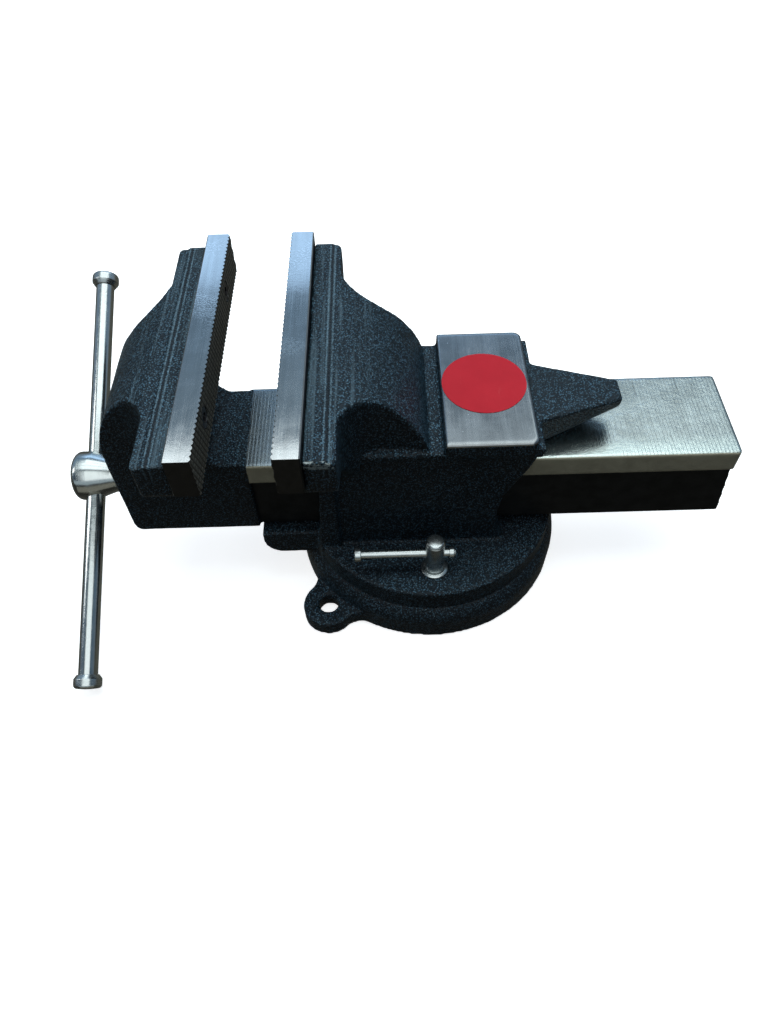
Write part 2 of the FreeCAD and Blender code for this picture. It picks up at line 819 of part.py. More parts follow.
def make_lead_screw():
    """Screw along local X: plated head with the handle hole, plain neck, then the thread."""
    body = turned("lead_screw", "XZ_Plane", "H_Axis", [
        (head_front, 0),
        (screw_end, 0),
        (screw_end, thread_radius - 3),
        (screw_end - 3, thread_radius),
        (thread_start, thread_radius),
        (thread_start - 1, neck_radius),
        (head_rear, neck_radius),
        (head_rear, head_shoulder - 1),
        (head_rear - 1, head_shoulder),
        (head_rear - 3, head_shoulder),
        (head_rear - 6, head_waist),
        (head_rear - 8, head_waist),
        (bar_centre + 1, head_radius, waist_bend),
        (head_front + head_corner, head_radius),
        (head_front, head_radius - head_corner, head_corner),
    ])
    groove_at = thread_start + thread_pitch / 2
    tooth = new_sketch(body, "XZ_Plane")
    outline(tooth, [
        (groove_at - 1.6, thread_radius + 1),
        (groove_at - 1, thread_radius - thread_depth),
        (groove_at + 1, thread_radius - thread_depth),
        (groove_at + 1.6, thread_radius + 1),
    ])
    groove = turn(body, "Groove", tooth, "H_Axis")
    thread = body.newObject("PartDesign::LinearPattern", "thread")
    body.Tip = groove
    thread.Originals = [groove]
    thread.Direction = (tooth, ["H_Axis"])
    bind(thread, "Length", thread_pitch * (thread_turns - 1))
    bind(thread, "Occurrences", thread_turns)
    settle(body, thread, False)
    cross_holes = new_sketch(body, "XZ_Plane")
    circle(cross_holes, bar_centre, 0, bar_radius + 0.1)
    circle(cross_holes, collar_middle, 0, pin_radius)
    pocket(body, cross_holes, 4 * head_radius, symmetric=True)
    place(body, 0, 0, screw_axis, X_WAY, bar_tilt)
    return body


def make_thrust_washer():
    """Plain washer between the screw head and the boss of the movable jaw."""
    face = nose_front - boss_tall
    body = turned("thrust_washer", "XZ_Plane", "H_Axis", ring_corners(
        head_rear + 0.1, face - 0.1, neck_radius + 0.1, head_radius + 1.5, 0.5))
    place(body, 0, 0, screw_axis)
    return body


def make_retaining_collar():
    """Collar pinned to the neck inside the movable jaw."""
    body = turned("retaining_collar", "XZ_Plane", "H_Axis", ring_corners(
        collar_middle - collar_long / 2, collar_middle + collar_long / 2, neck_radius, collar_radius, 1))
    pin_hole = new_sketch(body, "XZ_Plane")
    circle(pin_hole, collar_middle, 0, pin_radius)
    pocket(body, pin_hole, 4 * collar_radius, symmetric=True)
    place(body, 0, 0, screw_axis, X_WAY, bar_tilt)
    return body


def make_collar_pin():
    """Pin through the collar and the neck."""
    body = new_body("collar_pin")
    section = new_sketch(body, "XZ_Plane")
    circle(section, 0, 0, pin_radius)
    pad(body, section, 2 * collar_radius - 2, symmetric=True)
    place(body, collar_middle, 0, screw_axis, X_WAY, bar_tilt)
    return body


def make_retaining_spring():
    """Coil spring between the inner wall of the movable jaw and the collar."""
    body = new_body("retaining_spring")
    room = collar_middle - collar_long / 2 - inner_wall
    wire = new_sketch(body, "XZ_Plane")
    circle(wire, spring_radius, wire_radius + 0.2, wire_radius)
    coil = body.newObject("PartDesign::AdditiveHelix", "coil")
    coil.Profile = wire
    coil.ReferenceAxis = (wire, ["V_Axis"])
    coil.Mode = "height-turns-angle"
    bind(coil, "Height", room - 2 * wire_radius - 0.4)
    coil.Turns = 2.5
    settle(body, coil, True)
    place(body, inner_wall, 0, screw_axis, Y_WAY, 90)
    return body


# ---------------------------------------------------------------- lead nut

def make_lead_nut():
    """Nut block that stands on the guide shelf inside the hollow slide."""
    body = new_body("lead_nut")
    base = new_sketch(body, "XY_Plane", shelf_top)
    outline(base, box_corners(
        nut_centre - nut_long / 2, nut_centre + nut_long / 2, -nut_half, nut_half))
    pad(body, base, nut_tall)
    round_edges(body, 2, lambda edge: along(edge, X_WAY) and flat_at(edge, "z", shelf_top + nut_tall))
    bore = new_sketch(body, "YZ_Plane")
    circle(bore, 0, screw_axis, thread_radius + gap)
    pocket(body, bore, far, symmetric=True)
    bolt_holes = new_sketch(body, "XY_Plane", shelf_top)
    for side in (-1, 1):
        circle(bolt_holes, nut_centre + side * nut_bolt_gap / 2, 0, screw_shank / 2)
    pocket(body, bolt_holes, screw_axis - shelf_top, reverse=True)
    return body


def make_lead_nut_bolts():
    """The two screws that hold the nut from below."""
    bolts = []
    for end, side in (("front", -1), ("rear", 1)):
        head_seat = swivel_face + screw_head_tall + 1
        reach = screw_axis - thread_radius - 1 - head_seat
        bolt = make_socket_screw(f"lead_nut_bolt_{end}", reach)
        place(bolt, nut_centre + side * nut_bolt_gap / 2, 0, swivel_face + 1, X_WAY, 180)
        bolts.append(bolt)
    return bolts


# ---------------------------------------------------------------- handle

def on_handle(body):
    """Put a handle piece on the bar's own middle, with local Y along the bar."""
    place(body, bar_centre, bar_shift * cosine(bar_tilt), screw_axis + bar_shift * sine(bar_tilt),
          X_WAY, bar_tilt)
    return body


def make_handle_bar():
    """Round bar that slides through the screw head."""
    body = new_body("handle_bar")
    section = new_sketch(body, "XZ_Plane")
    circle(section, 0, 0, bar_radius)
    pad(body, section, 2 * (bar_half - cap_end), symmetric=True)
    return on_handle(body)


def make_handle_cap(label, side):
    """Knob pressed over one end of the bar."""
    neck = bar_half - cap_long
    profile = [
        (0, bar_half - cap_end),
        (bar_radius, bar_half - cap_end),
        (bar_radius, neck),
        (bar_radius + 0.8, neck),
        (cap_radius, neck + 3),
        (cap_radius, bar_half - cap_corner),
        (cap_radius - cap_corner, bar_half, cap_corner),
        (0, bar_half),
    ]
    if side < 0:
        profile = mirrored(profile, 1)[len(profile):]
    body = turned(label, "XY_Plane", "V_Axis", profile)
    return on_handle(body)


# ---------------------------------------------------------------- swivel locks

def at_lock(body, side, z=0):
    """Put a lock piece on its bolt: the front lock has side 1, the rear one is turned half round."""
    place(body, side * lock_reach, -side * lock_y, z, Z_WAY, 90 - 90 * side)
    return body


def make_lock(name, side):
    """One swivel lock: bolt, washer, domed nut, sliding bar and the bar's two knobs."""
    washer_top = flange_top + lock_washer_thick
    nut_foot = washer_top + gap
    nut_top = nut_foot + lock_nut_tall
    bar_height = flange_top + lock_bar_rise
    bolt_top = bar_height - lock_bar_radius - 1
    bolt = new_body(f"{name}_lock_bolt")
    head = new_sketch(bolt, "XY_Plane", slot_floor + 0.3)
    outline(head, box_corners(-lock_head_half, lock_head_half, -lock_head_half, lock_head_half))
    pad(bolt, head, slot_roof - slot_floor - 0.4)
    shank = new_sketch(bolt, "XY_Plane", slot_roof - 1)
    circle(shank, 0, 0, lock_bolt_radius)
    pad(bolt, shank, bolt_top - slot_roof + 1)
    round_edges(bolt, 0.8, lambda edge: flat_at(edge, "z", bolt_top), "Chamfer")

    washer = turned(f"{name}_lock_washer", "XZ_Plane", "V_Axis", [
        (lock_bolt_radius + 0.3, flange_top),
        (lock_washer_radius, flange_top),
        (lock_washer_radius, washer_top - 1.2),
        (lock_washer_radius - 1.2, washer_top, 1.2),
        (lock_bolt_radius + 0.3, washer_top),
    ])

    nut = turned(f"{name}_lock_nut", "XZ_Plane", "V_Axis", [
        (lock_bolt_radius + gap, nut_foot),
        (lock_nut_radius, nut_foot),
        (lock_nut_radius, nut_top - 2.6),
        (lock_nut_radius - 2, nut_top - 0.6, 2),
        (0, nut_top),
        (0, bolt_top + 0.5),
        (lock_bolt_radius + gap, bolt_top + 0.5),
    ])
    bar_hole = new_sketch(nut, "YZ_Plane")
    circle(bar_hole, 0, bar_height, lock_bar_radius + gap)
    pocket(nut, bar_hole, 4 * lock_nut_radius, symmetric=True)

    bar = turned(f"{name}_lock_bar", "XZ_Plane", "H_Axis", [
        (1 - lock_bar_long_end, 0),
        (lock_bar_short_end - 1, 0),
        (lock_bar_short_end - 1, lock_bar_radius),
        (1 - lock_bar_long_end, lock_bar_radius),
    ])
    long_cap = turned(f"{name}_lock_bar_cap_long", "XZ_Plane", "H_Axis", [
        (-lock_bar_long_end, 0),
        (1 - lock_bar_long_end, 0),
        (1 - lock_bar_long_end, lock_bar_radius),
        (lock_cap_long - lock_bar_long_end, lock_bar_radius),
        (lock_cap_long - lock_bar_long_end, lock_cap_radius - 0.8),
        (lock_cap_long - lock_bar_long_end - 0.8, lock_cap_radius),
        (1.2 - lock_bar_long_end, lock_cap_radius),
        (-lock_bar_long_end, lock_cap_radius - 1.2, 1.2),
    ])
    short_cap = turned(f"{name}_lock_bar_cap_short", "XZ_Plane", "H_Axis", [
        (lock_bar_short_end - 1, 0),
        (lock_bar_short_end, 0),
        (lock_bar_short_end, lock_cap_radius - 2.2),
        (lock_bar_short_end - 1.2, lock_cap_radius - 1, 1.2),
        (lock_bar_short_end - lock_cap_long + 0.6, lock_cap_radius - 1),
        (lock_bar_short_end - lock_cap_long, lock_cap_radius - 1.6),
        (lock_bar_short_end - lock_cap_long, lock_bar_radius),
        (lock_bar_short_end - 1, lock_bar_radius),
    ])
    pieces = [at_lock(piece, side) for piece in (bolt, washer, nut)]
    return pieces + [at_lock(piece, side, bar_height) for piece in (bar, long_cap, short_cap)]


# ---------------------------------------------------------------- label

def make_anvil_label():
    """Thin round sticker on the anvil."""
    body = new_body("anvil_label")
    disc = new_sketch(body, "XY_Plane", anvil_top)
    circle(disc, label_x, label_y, label_radius)
    pad(body, disc, label_thick)
    return body


# ---------------------------------------------------------------- build, check, write

NODES = [
    make_swivel_base(),
    make_fixed_jaw_body(),
    make_jaw_plate("fixed_jaw_plate", fixed_face, 0),
    *make_plate_screws("fixed_plate_screw", fixed_face, -90, 1),
    make_movable_jaw(),
    make_jaw_plate("movable_jaw_plate", movable_face, 180),
    *make_plate_screws("movable_plate_screw", movable_face, 90, -1),
    make_lead_screw(),
    make_thrust_washer(),
    make_retaining_spring(),
    make_retaining_collar(),
    make_collar_pin(),
    make_lead_nut(),
    *make_lead_nut_bolts(),
    make_handle_bar(),
    make_handle_cap("handle_cap_upper", 1),
    make_handle_cap("handle_cap_lower", -1),
    *make_lock("front", 1),
    *make_lock("rear", -1),
    make_anvil_label(),
]

DOCUMENT.recompute()
for item in DOCUMENT.Objects:
    if "Invalid" in item.State or "Error" in item.State:
        raise ValueError(f"{item.Label} is {item.State}")
for node in NODES:
    if node.Shape.isNull() or not node.Shape.isValid() or len(node.Shape.Solids) != 1:
        raise ValueError(f"{node.Label} is not one valid solid")

os.makedirs("parts", exist_ok=True)
for node in NODES:
    node.Shape.exportStep(f"parts/{node.Label}.step")
    print(node.Label, round(node.Shape.Volume))
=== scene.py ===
import json
import math

import bmesh
import bpy
from mathutils import Matrix, Vector, noise


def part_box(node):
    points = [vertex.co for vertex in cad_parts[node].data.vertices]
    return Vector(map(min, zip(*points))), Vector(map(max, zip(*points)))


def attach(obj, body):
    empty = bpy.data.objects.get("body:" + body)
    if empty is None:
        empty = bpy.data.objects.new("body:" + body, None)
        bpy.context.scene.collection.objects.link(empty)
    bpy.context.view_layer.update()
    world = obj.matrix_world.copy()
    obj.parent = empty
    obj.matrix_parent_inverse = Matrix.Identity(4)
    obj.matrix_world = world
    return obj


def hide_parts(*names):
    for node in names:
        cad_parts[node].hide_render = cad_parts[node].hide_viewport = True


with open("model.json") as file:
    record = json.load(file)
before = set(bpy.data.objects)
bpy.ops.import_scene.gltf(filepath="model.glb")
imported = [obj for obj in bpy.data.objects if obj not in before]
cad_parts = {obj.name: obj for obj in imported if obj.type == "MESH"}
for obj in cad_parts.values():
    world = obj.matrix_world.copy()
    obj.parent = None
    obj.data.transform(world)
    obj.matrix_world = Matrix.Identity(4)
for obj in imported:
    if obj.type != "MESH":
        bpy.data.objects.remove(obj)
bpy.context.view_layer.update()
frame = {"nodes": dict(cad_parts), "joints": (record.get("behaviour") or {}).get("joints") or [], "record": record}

# Looks of a bench vise. Metres, in the row frame: +X along the slide away from the handle, +Z up.

MM = 0.001
CAST_VOXEL = 1.1 * MM
CAST_SMOOTHING = 5
CAST_WOBBLE = 0.16 * MM
RUNNING_GAP = 0.5 * MM
SCREW_HEIGHT = 75 * MM


def middle(node):
    """Centre of a CAD node's box."""
    low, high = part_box(node)
    return (low + high) / 2


def joint(name):
    """The record's joint of that name."""
    return [item for item in frame["joints"] if item["name"] == name][0]


def slide_start():
    """X where the machined slide begins behind the movable jaw."""
    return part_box("movable_jaw_plate")[1].x + 9 * MM


BAR_WAY = Vector(joint("handle_slide")["axis"]).normalized()


# ---------------------------------------------------------------- shader helper

class Look:
    """One procedural material: a Principled shader and the nodes that feed it."""

    def __init__(self, name, color, metallic=0.0, roughness=0.5, specular=0.5):
        self.material = bpy.data.materials.new(name)
        self.material.use_nodes = True
        self.material.diffuse_color = (*color, 1)
        self.tree = self.material.node_tree
        self.shader = self.tree.nodes["Principled BSDF"]
        self.shader.inputs["Base Color"].default_value = (*color, 1)
        self.shader.inputs["Metallic"].default_value = metallic
        self.shader.inputs["Roughness"].default_value = roughness
        self.shader.inputs["Specular IOR Level"].default_value = specular
        self.place = self.add("ShaderNodeTexCoord").outputs["Object"]

    def add(self, kind, **settings):
        """A node with some of its settings."""
        node = self.tree.nodes.new(kind)
        for key, value in settings.items():
            setattr(node, key, value)
        return node

    def feed(self, socket, value):
        """Give a socket a number, a colour or another node's output."""
        if isinstance(value, bpy.types.NodeSocket):
            self.tree.links.new(value, socket)
        elif isinstance(value, tuple) and len(value) == 3 and socket.type == "RGBA":
            socket.default_value = (*value, 1)
        else:
            socket.default_value = value

    def math(self, operation, first, second=0.0):
        """One step of arithmetic."""
        node = self.add("ShaderNodeMath", operation=operation)
        self.feed(node.inputs[0], first)
        self.feed(node.inputs[1], second)
        return node.outputs[0]

    def ramp(self, value, low, high, to_low=0.0, to_high=1.0):
        """Smooth step of a value between two limits."""
        node = self.add("ShaderNodeMapRange", interpolation_type="SMOOTHSTEP")
        for index, item in enumerate((value, low, high, to_low, to_high)):
            self.feed(node.inputs[index], item)
        return node.outputs[0]

    def mix(self, factor, first, second):
        """Blend of two colours."""
        node = self.add("ShaderNodeMix", data_type="RGBA")
        self.feed(node.inputs["Factor"], factor)
        self.feed(node.inputs[6], first)
        self.feed(node.inputs[7], second)
        return node.outputs[2]

    def blend(self, factor, first, second):
        """Blend of two numbers."""
        node = self.add("ShaderNodeMix", data_type="FLOAT")
        self.feed(node.inputs["Factor"], factor)
        self.feed(node.inputs[2], first)
        self.feed(node.inputs[3], second)
        return node.outputs[0]

    def stretched(self, scale):
        """Object place, scaled by a different amount along each axis."""
        node = self.add("ShaderNodeMapping")
        self.feed(node.inputs["Vector"], self.place)
        node.inputs["Scale"].default_value = scale
        return node.outputs[0]

    def noise(self, scale, detail=2.0, roughness=0.5, distortion=0.0, vector=None):
        """Fractal noise, about one step per 1/scale metres."""
        node = self.add("ShaderNodeTexNoise")
        self.feed(node.inputs["Vector"], vector or self.place)
        node.inputs["Scale"].default_value = scale
        node.inputs["Detail"].default_value = detail
        node.inputs["Roughness"].default_value = roughness
        node.inputs["Distortion"].default_value = distortion
        return node.outputs[0]

    def cells(self, scale, feature="F1", smoothness=1.0):
        """Distance to the nearest point of a scattered set."""
        node = self.add("ShaderNodeTexVoronoi", feature=feature)
        self.feed(node.inputs["Vector"], self.place)
        node.inputs["Scale"].default_value = scale
        if feature == "SMOOTH_F1":
            node.inputs["Smoothness"].default_value = smoothness
        return node.outputs["Distance"]

    def bump(self, height, distance, strength=1.0, under=None):
        """A bump on top of an earlier one."""
        node = self.add("ShaderNodeBump")
        node.inputs["Strength"].default_value = strength
        self.feed(node.inputs["Distance"], distance)
        self.feed(node.inputs["Height"], height)
        if under is not None:
            self.feed(node.inputs["Normal"], under)
        return node.outputs[0]

    def axis(self, index):
        """One coordinate of the object place."""
        node = self.add("ShaderNodeSeparateXYZ")
        self.feed(node.inputs[0], self.place)
        return node.outputs[index]

    def facing(self, index):
        """One part of the true surface normal."""
        node = self.add("ShaderNodeSeparateXYZ")
        self.feed(node.inputs[0], self.add("ShaderNodeNewGeometry").outputs["True Normal"])
        return node.outputs[index]

    def finish(self, color=None, roughness=None, normal=None, metallic=None):
        """Join the results to the shader."""
        for name, value in (("Base Color", color), ("Roughness", roughness), ("Normal", normal),
                            ("Metallic", metallic)):
            if value is not None:
                self.feed(self.shader.inputs[name], value)
        return self.material


# ---------------------------------------------------------------- materials

PAINT = (0.015, 0.024, 0.033)

# Heights between which a finish fades in.
LEDGE_FROM, LEDGE_TO = 181 * MM, 185 * MM
COMBED_FROM, COMBED_TO = 183 * MM, 190 * MM
CHIPS_FROM, CHIPS_TO = 188.4 * MM, 189 * MM
FLANGE_LOW = 104 * MM

# Near edges, as Y, and the X between which the slide's oil fades out.
LEDGE_NEAR = -96 * MM
ANVIL_NEAR = -49.5 * MM
SLIDE_NEAR = -34 * MM
OIL_FULL, OIL_END = -75 * MM, -45 * MM

# The bead's way back from the fixed and the movable jaw plate.
FIXED_BEAD = 12.5 * MM
MOVABLE_BEAD = 10.5 * MM


def paint_look(name):
    """An empty look with the paint's plain settings."""
    return Look(name, PAINT, 0.0, 0.4, 0.25)


def bead_shade_and_highlights(look, color, fine, bead):
    """Paint colour at X = bead on the ledge behind a plate: painted shade in a fine groove, and painted highlights
    on the two raised edges beside it.
    """
    offset = look.math("ABSOLUTE", look.math("SUBTRACT", look.axis(0), bead))
    ledge = look.ramp(look.axis(2), LEDGE_FROM, LEDGE_TO)
    # Painted shade: the fine groove is darkened in the colour.
    groove = look.math("MULTIPLY", ledge, look.ramp(offset, 0.4 * MM, 0.9 * MM, 1.0, 0.0))
    color = look.mix(look.math("MULTIPLY", groove, 0.9), color, (0.004, 0.008, 0.012))
    inner = look.ramp(offset, 0.9 * MM, 1.3 * MM)
    outer = look.ramp(offset, 1.7 * MM, 2.3 * MM, 1.0, 0.0)
    # Painted highlights: two lighter lines either side of the groove, broken up by noise.
    lip_highlights = look.math("MULTIPLY", ledge, look.math("MULTIPLY", inner, outer))
    lip_highlights = look.math("MULTIPLY", lip_highlights, look.ramp(fine, 0.4, 0.55))
    return look.mix(look.math("MULTIPLY", lip_highlights, 0.7), color, (0.16, 0.25, 0.31))


def hammered_paint(look, bead=None):
    """Colour, roughness and bump of the rough dark paint on the castings, with painted glints put into the colour,
    and painted shade and highlights at the bead when one is given.
    """
    warp = look.noise(420, 2, 0.6)
    grain = look.cells(760, "SMOOTH_F1", 0.5)
    fine = look.noise(1100, 3, 0.7)
    rough = look.math("ADD", grain, look.math("MULTIPLY", look.math("ADD", fine, warp), 0.45))
    color = look.mix(look.ramp(rough, 0.58, 0.9), (0.092, 0.185, 0.262), (0.003, 0.009, 0.015))
    # Painted glints: bright specks put into the colour of the paint.
    painted_glint = look.ramp(look.cells(560), 0.13, 0.34, 1.0, 0.0)
    painted_glint = look.math("MULTIPLY", painted_glint, look.ramp(fine, 0.48, 0.6))
    color = look.mix(look.math("MULTIPLY", painted_glint, 0.75), color, (0.24, 0.37, 0.44))
    patches = look.ramp(look.noise(18, 4, 0.6), 0.35, 0.75, 0.0, 0.4)
    color = look.mix(patches, color, (0.010, 0.018, 0.024))
    streaks = look.noise(1, 3, 0.6, vector=look.stretched((420, 9, 420)))
    combed = look.ramp(look.axis(2), COMBED_FROM, COMBED_TO)
    combed = look.math("MULTIPLY", combed, look.ramp(streaks, 0.5, 0.72))
    color = look.mix(look.math("MULTIPLY", combed, 0.55), color, (0.11, 0.17, 0.21))
    if bead is not None:
        color = bead_shade_and_highlights(look, color, fine, bead)
    roughness = look.ramp(look.noise(300, 3, 0.7), 0.3, 0.7, 0.3, 0.5)
    normal = look.bump(look.noise(110, 3, 0.5), 0.8 * MM, 0.5)
    normal = look.bump(look.math("SUBTRACT", 1.5, rough), 0.7 * MM, 1.0, normal)
    return color, roughness, normal


def scaled(tint, factor):
    """A colour made lighter or darker."""
    return tuple(factor * part for part in tint)


def ground_metal(look, tint=(0.56, 0.57, 0.57), dullness=(0.07, 0.14), pitted=0.0):
    """Colour, roughness and bump of steel ground along Y, with patches of fine pits where pitted is 1."""
    streaks = look.noise(1, 3, 0.6, vector=look.stretched((1900, 22, 1900)))
    bands = look.noise(1, 3, 0.55, vector=look.stretched((200, 7, 200)))
    cloud = look.noise(45, 4, 0.65)
    specks = look.ramp(look.cells(210), 0.03, 0.11, 1.0, 0.0)
    specks = look.math("MULTIPLY", specks, look.ramp(look.noise(60, 2), 0.5, 0.6))
    worn = look.math("ADD", look.math("MULTIPLY", bands, 0.55), look.math("MULTIPLY", cloud, 0.45))
    color = look.mix(look.ramp(worn, 0.35, 0.65), scaled(tint, 0.82), tint)
    color = look.mix(look.ramp(streaks, 0.6, 0.8, 0.0, 0.5), color, scaled(tint, 1.25))
    color = look.mix(look.math("MULTIPLY", specks, 0.8), color, (0.95, 0.97, 0.97))
    pits = look.ramp(look.noise(750, 2, 0.6), 0.46, 0.6)
    pits = look.math("MULTIPLY", pits, look.ramp(look.noise(24, 2, 0.5), 0.54, 0.66, 0.0, pitted))
    color = look.mix(look.math("MULTIPLY", pits, 0.35), color, scaled(tint, 1.4))
    roughness = look.ramp(look.math("ADD", streaks, cloud), 0.6, 1.4, *dullness)
    normal = look.bump(streaks, 0.02 * MM, 0.6)
    normal = look.bump(look.noise(420, 3, 0.6), 0.02 * MM, 0.5, normal)
    normal = look.bump(pits, 0.018 * MM, 0.5, normal)
    return color, roughness, normal


def layered(look, mask, under, over):
    """Two finishes in one, each a colour, a roughness and a bump. The second shows where the mask is 1."""
    color = look.mix(mask, under[0], over[0])
    roughness = look.blend(mask, under[1], over[1])
    node = look.add("ShaderNodeMix", data_type="VECTOR")
    look.feed(node.inputs["Factor"], mask)
    look.feed(node.inputs[4], under[2])
    look.feed(node.inputs[5], over[2])
    return color, roughness, node.outputs[1]


def base_paint():
    """Swivel base: paint all over."""
    look = paint_look("base_paint")
    return look.finish(*hammered_paint(look))


def chipped(look, paint):
    """Paint with bare chips along the near edge of the fixed jaw's ledge."""
    near = look.ramp(look.axis(1), LEDGE_NEAR - 0.4 * MM, LEDGE_NEAR + 0.4 * MM, 1.0, 0.0)
    high = look.ramp(look.axis(2), CHIPS_FROM, CHIPS_TO)
    chips = look.math("MULTIPLY", high, look.ramp(look.noise(420, 2), 0.42, 0.52))
    chips = look.math("MULTIPLY", near, chips)
    return look.mix(chips, paint[0], (0.5, 0.56, 0.55)), paint[1], paint[2]


def fixed_casting_paint():
    """Fixed casting: paint, and a ground anvil top whose near edge is rubbed bare further down."""
    look = paint_look("fixed_casting_paint")
    paint = chipped(look, hammered_paint(look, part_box("fixed_jaw_plate")[1].x + FIXED_BEAD))
    steel = ground_metal(look, (0.30, 0.315, 0.325), (0.16, 0.28))
    label_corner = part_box("anvil_label")[0]
    rag = look.math("MULTIPLY", look.noise(160, 3, 0.6), 0.5 * MM)
    edge = look.ramp(look.axis(1), ANVIL_NEAR, ANVIL_NEAR + 1.5 * MM, 1.2 * MM, 0.0)
    height = look.math("ADD", look.math("ADD", look.axis(2), rag), edge)
    mask = look.ramp(height, label_corner.z - 0.45 * MM, label_corner.z - 0.25 * MM)
    mask = look.math("MULTIPLY", mask, look.math("GREATER_THAN", look.axis(0), label_corner.x - 4 * MM))
    color, roughness, normal = layered(look, mask, paint, steel)
    return look.finish(color, roughness, normal, mask)


def slide_steel(look):
    """Milled top of the slide: feed marks, dark cuts and stains, oiled towards the jaw, and a painted reflection
    lightening it towards the near edge.
    """
    feed = look.add("ShaderNodeTexWave", wave_type="BANDS", bands_direction="X")
    look.feed(feed.inputs["Vector"], look.place)
    for name, value in (("Scale", 130), ("Distortion", 2.5), ("Detail", 3), ("Detail Scale", 30)):
        feed.inputs[name].default_value = value
    color, roughness, normal = ground_metal(look, (0.50, 0.545, 0.53), (0.12, 0.22))
    normal = look.bump(feed.outputs["Fac"], 0.06 * MM, 0.7, normal)
    oiled = look.ramp(look.axis(0), OIL_FULL, OIL_END, 1.0, 0.0)
    hollows = look.blend(oiled, 0.35 * MM, 0.06 * MM)
    normal = look.bump(look.noise(150, 3, 0.65, 1.5), hollows, 0.5, normal)
    color = look.mix(oiled, color, (0.2, 0.24, 0.27))
    cuts = look.noise(1, 2, 0.7, 0.6, vector=look.stretched((520, 26, 520)))
    cuts = look.math("MULTIPLY", look.ramp(cuts, 0.6, 0.68), look.ramp(look.noise(35, 2), 0.45, 0.6))
    color = look.mix(look.math("MULTIPLY", cuts, 0.65), color, (0.12, 0.13, 0.13))
    stains = look.ramp(look.noise(28, 5, 0.75), 0.4, 0.7, 0.0, 0.55)
    color = look.mix(stains, color, (0.25, 0.27, 0.255))
    # Painted reflection: the top is lightened towards its near edge, except where it is oiled.
    near = look.ramp(look.axis(1), SLIDE_NEAR, SLIDE_NEAR + 18 * MM, 0.8, 0.0)
    near = look.math("MULTIPLY", near, look.math("SUBTRACT", 1.0, oiled))
    return look.mix(near, color, (0.68, 0.76, 0.72)), roughness, normal


def slide_paint():
    """Movable casting: paint on the head, machined steel on the slide, raw flange sides, black web."""
    look = paint_look("slide_paint")
    paint = hammered_paint(look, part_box("movable_jaw_plate")[0].x - MOVABLE_BEAD)
    wave = look.math("MULTIPLY", look.noise(60, 2, 0.5), 4 * MM)
    machined = look.math("GREATER_THAN", look.math("ADD", look.axis(0), wave), slide_start() + 2 * MM)
    raw = (
        look.mix(look.noise(80, 4, 0.7), (0.40, 0.37, 0.27), (0.60, 0.55, 0.42)),
        look.ramp(look.noise(200, 2), 0.3, 0.7, 0.5, 0.7),
        look.bump(look.noise(500, 3, 0.6), 0.2 * MM, 0.8),
    )
    black = (
        look.mix(look.noise(60, 3, 0.6), (0.008, 0.009, 0.01), (0.02, 0.02, 0.02)),
        look.ramp(look.noise(120, 2), 0.3, 0.7, 0.35, 0.5),
        look.bump(look.noise(350, 3, 0.6), 0.2 * MM, 0.7),
    )
    flange = look.math("GREATER_THAN", look.axis(2), FLANGE_LOW)
    sides = layered(look, flange, black, raw)
    upward = look.ramp(look.facing(2), 0.55, 0.75)
    bare = layered(look, upward, sides, slide_steel(look))
    color, roughness, normal = layered(look, machined, paint, bare)
    metallic = look.math("MULTIPLY", look.math("MULTIPLY", machined, flange), look.blend(upward, 0.3, 1.0))
    return look.finish(color, roughness, normal, metallic)


def ground_steel():
    """Jaw plates: ground along the jaw on top, painted shade as a near-black colour on every face that doesn't
    face up, and in the teeth painted shade in the grooves and painted highlights on the tips.
    """
    look = Look("ground_steel", (0.55, 0.56, 0.57), 1.0, 0.3)
    color, roughness, normal = ground_metal(look, pitted=1.0)
    # Painted shade: every face that doesn't face up gets a near-black colour.
    scale = look.mix(look.noise(130, 4, 0.7), (0.012, 0.011, 0.010), (0.035, 0.032, 0.028))
    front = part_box("movable_jaw_plate")[1].x
    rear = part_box("fixed_jaw_plate")[0].x
    from_middle = look.math("ABSOLUTE", look.math("SUBTRACT", look.axis(0), (front + rear) / 2))
    depth = look.math("SUBTRACT", from_middle, (rear - front) / 2)
    # Painted shade in the tooth grooves and painted highlights on the tooth tips, set by depth into the face.
    tooth = look.mix(look.ramp(depth, 0.1 * MM, 0.6 * MM), (0.27, 0.255, 0.22), (0.006, 0.006, 0.005))
    toothed = look.ramp(look.math("ABSOLUTE", look.facing(0)), 0.2, 0.4)
    scale = look.mix(toothed, scale, tooth)
    top = look.ramp(look.math("ABSOLUTE", look.facing(2)), 0.6, 0.75)
    color = look.mix(top, scale, color)
    roughness = look.blend(top, look.ramp(look.noise(300, 2), 0.3, 0.7, 0.36, 0.52), roughness)
    return look.finish(color, roughness, normal, look.blend(top, 0.4, 1.0))


def plated_steel(name="plated_steel", dullness=(0.12, 0.24)):
    """Bright plate with fine turning marks round the piece's own axis."""
    look = Look(name, (0.6, 0.63, 0.63), 1.0, 0.16)
    rings = look.noise(1, 2, 0.6, vector=look.stretched((20, 20, 3200)))
    dull = look.noise(140, 3, 0.6)
    color = look.mix(dull, (0.50, 0.53, 0.53), (0.66, 0.70, 0.70))
    roughness = look.ramp(look.math("ADD", rings, dull), 0.7, 1.3, *dullness)
    normal = look.bump(rings, 0.02 * MM, 0.5)
    normal = look.bump(look.noise(160, 2, 0.5), 0.12 * MM, 0.4, normal)
    return look.finish(color, roughness, normal)


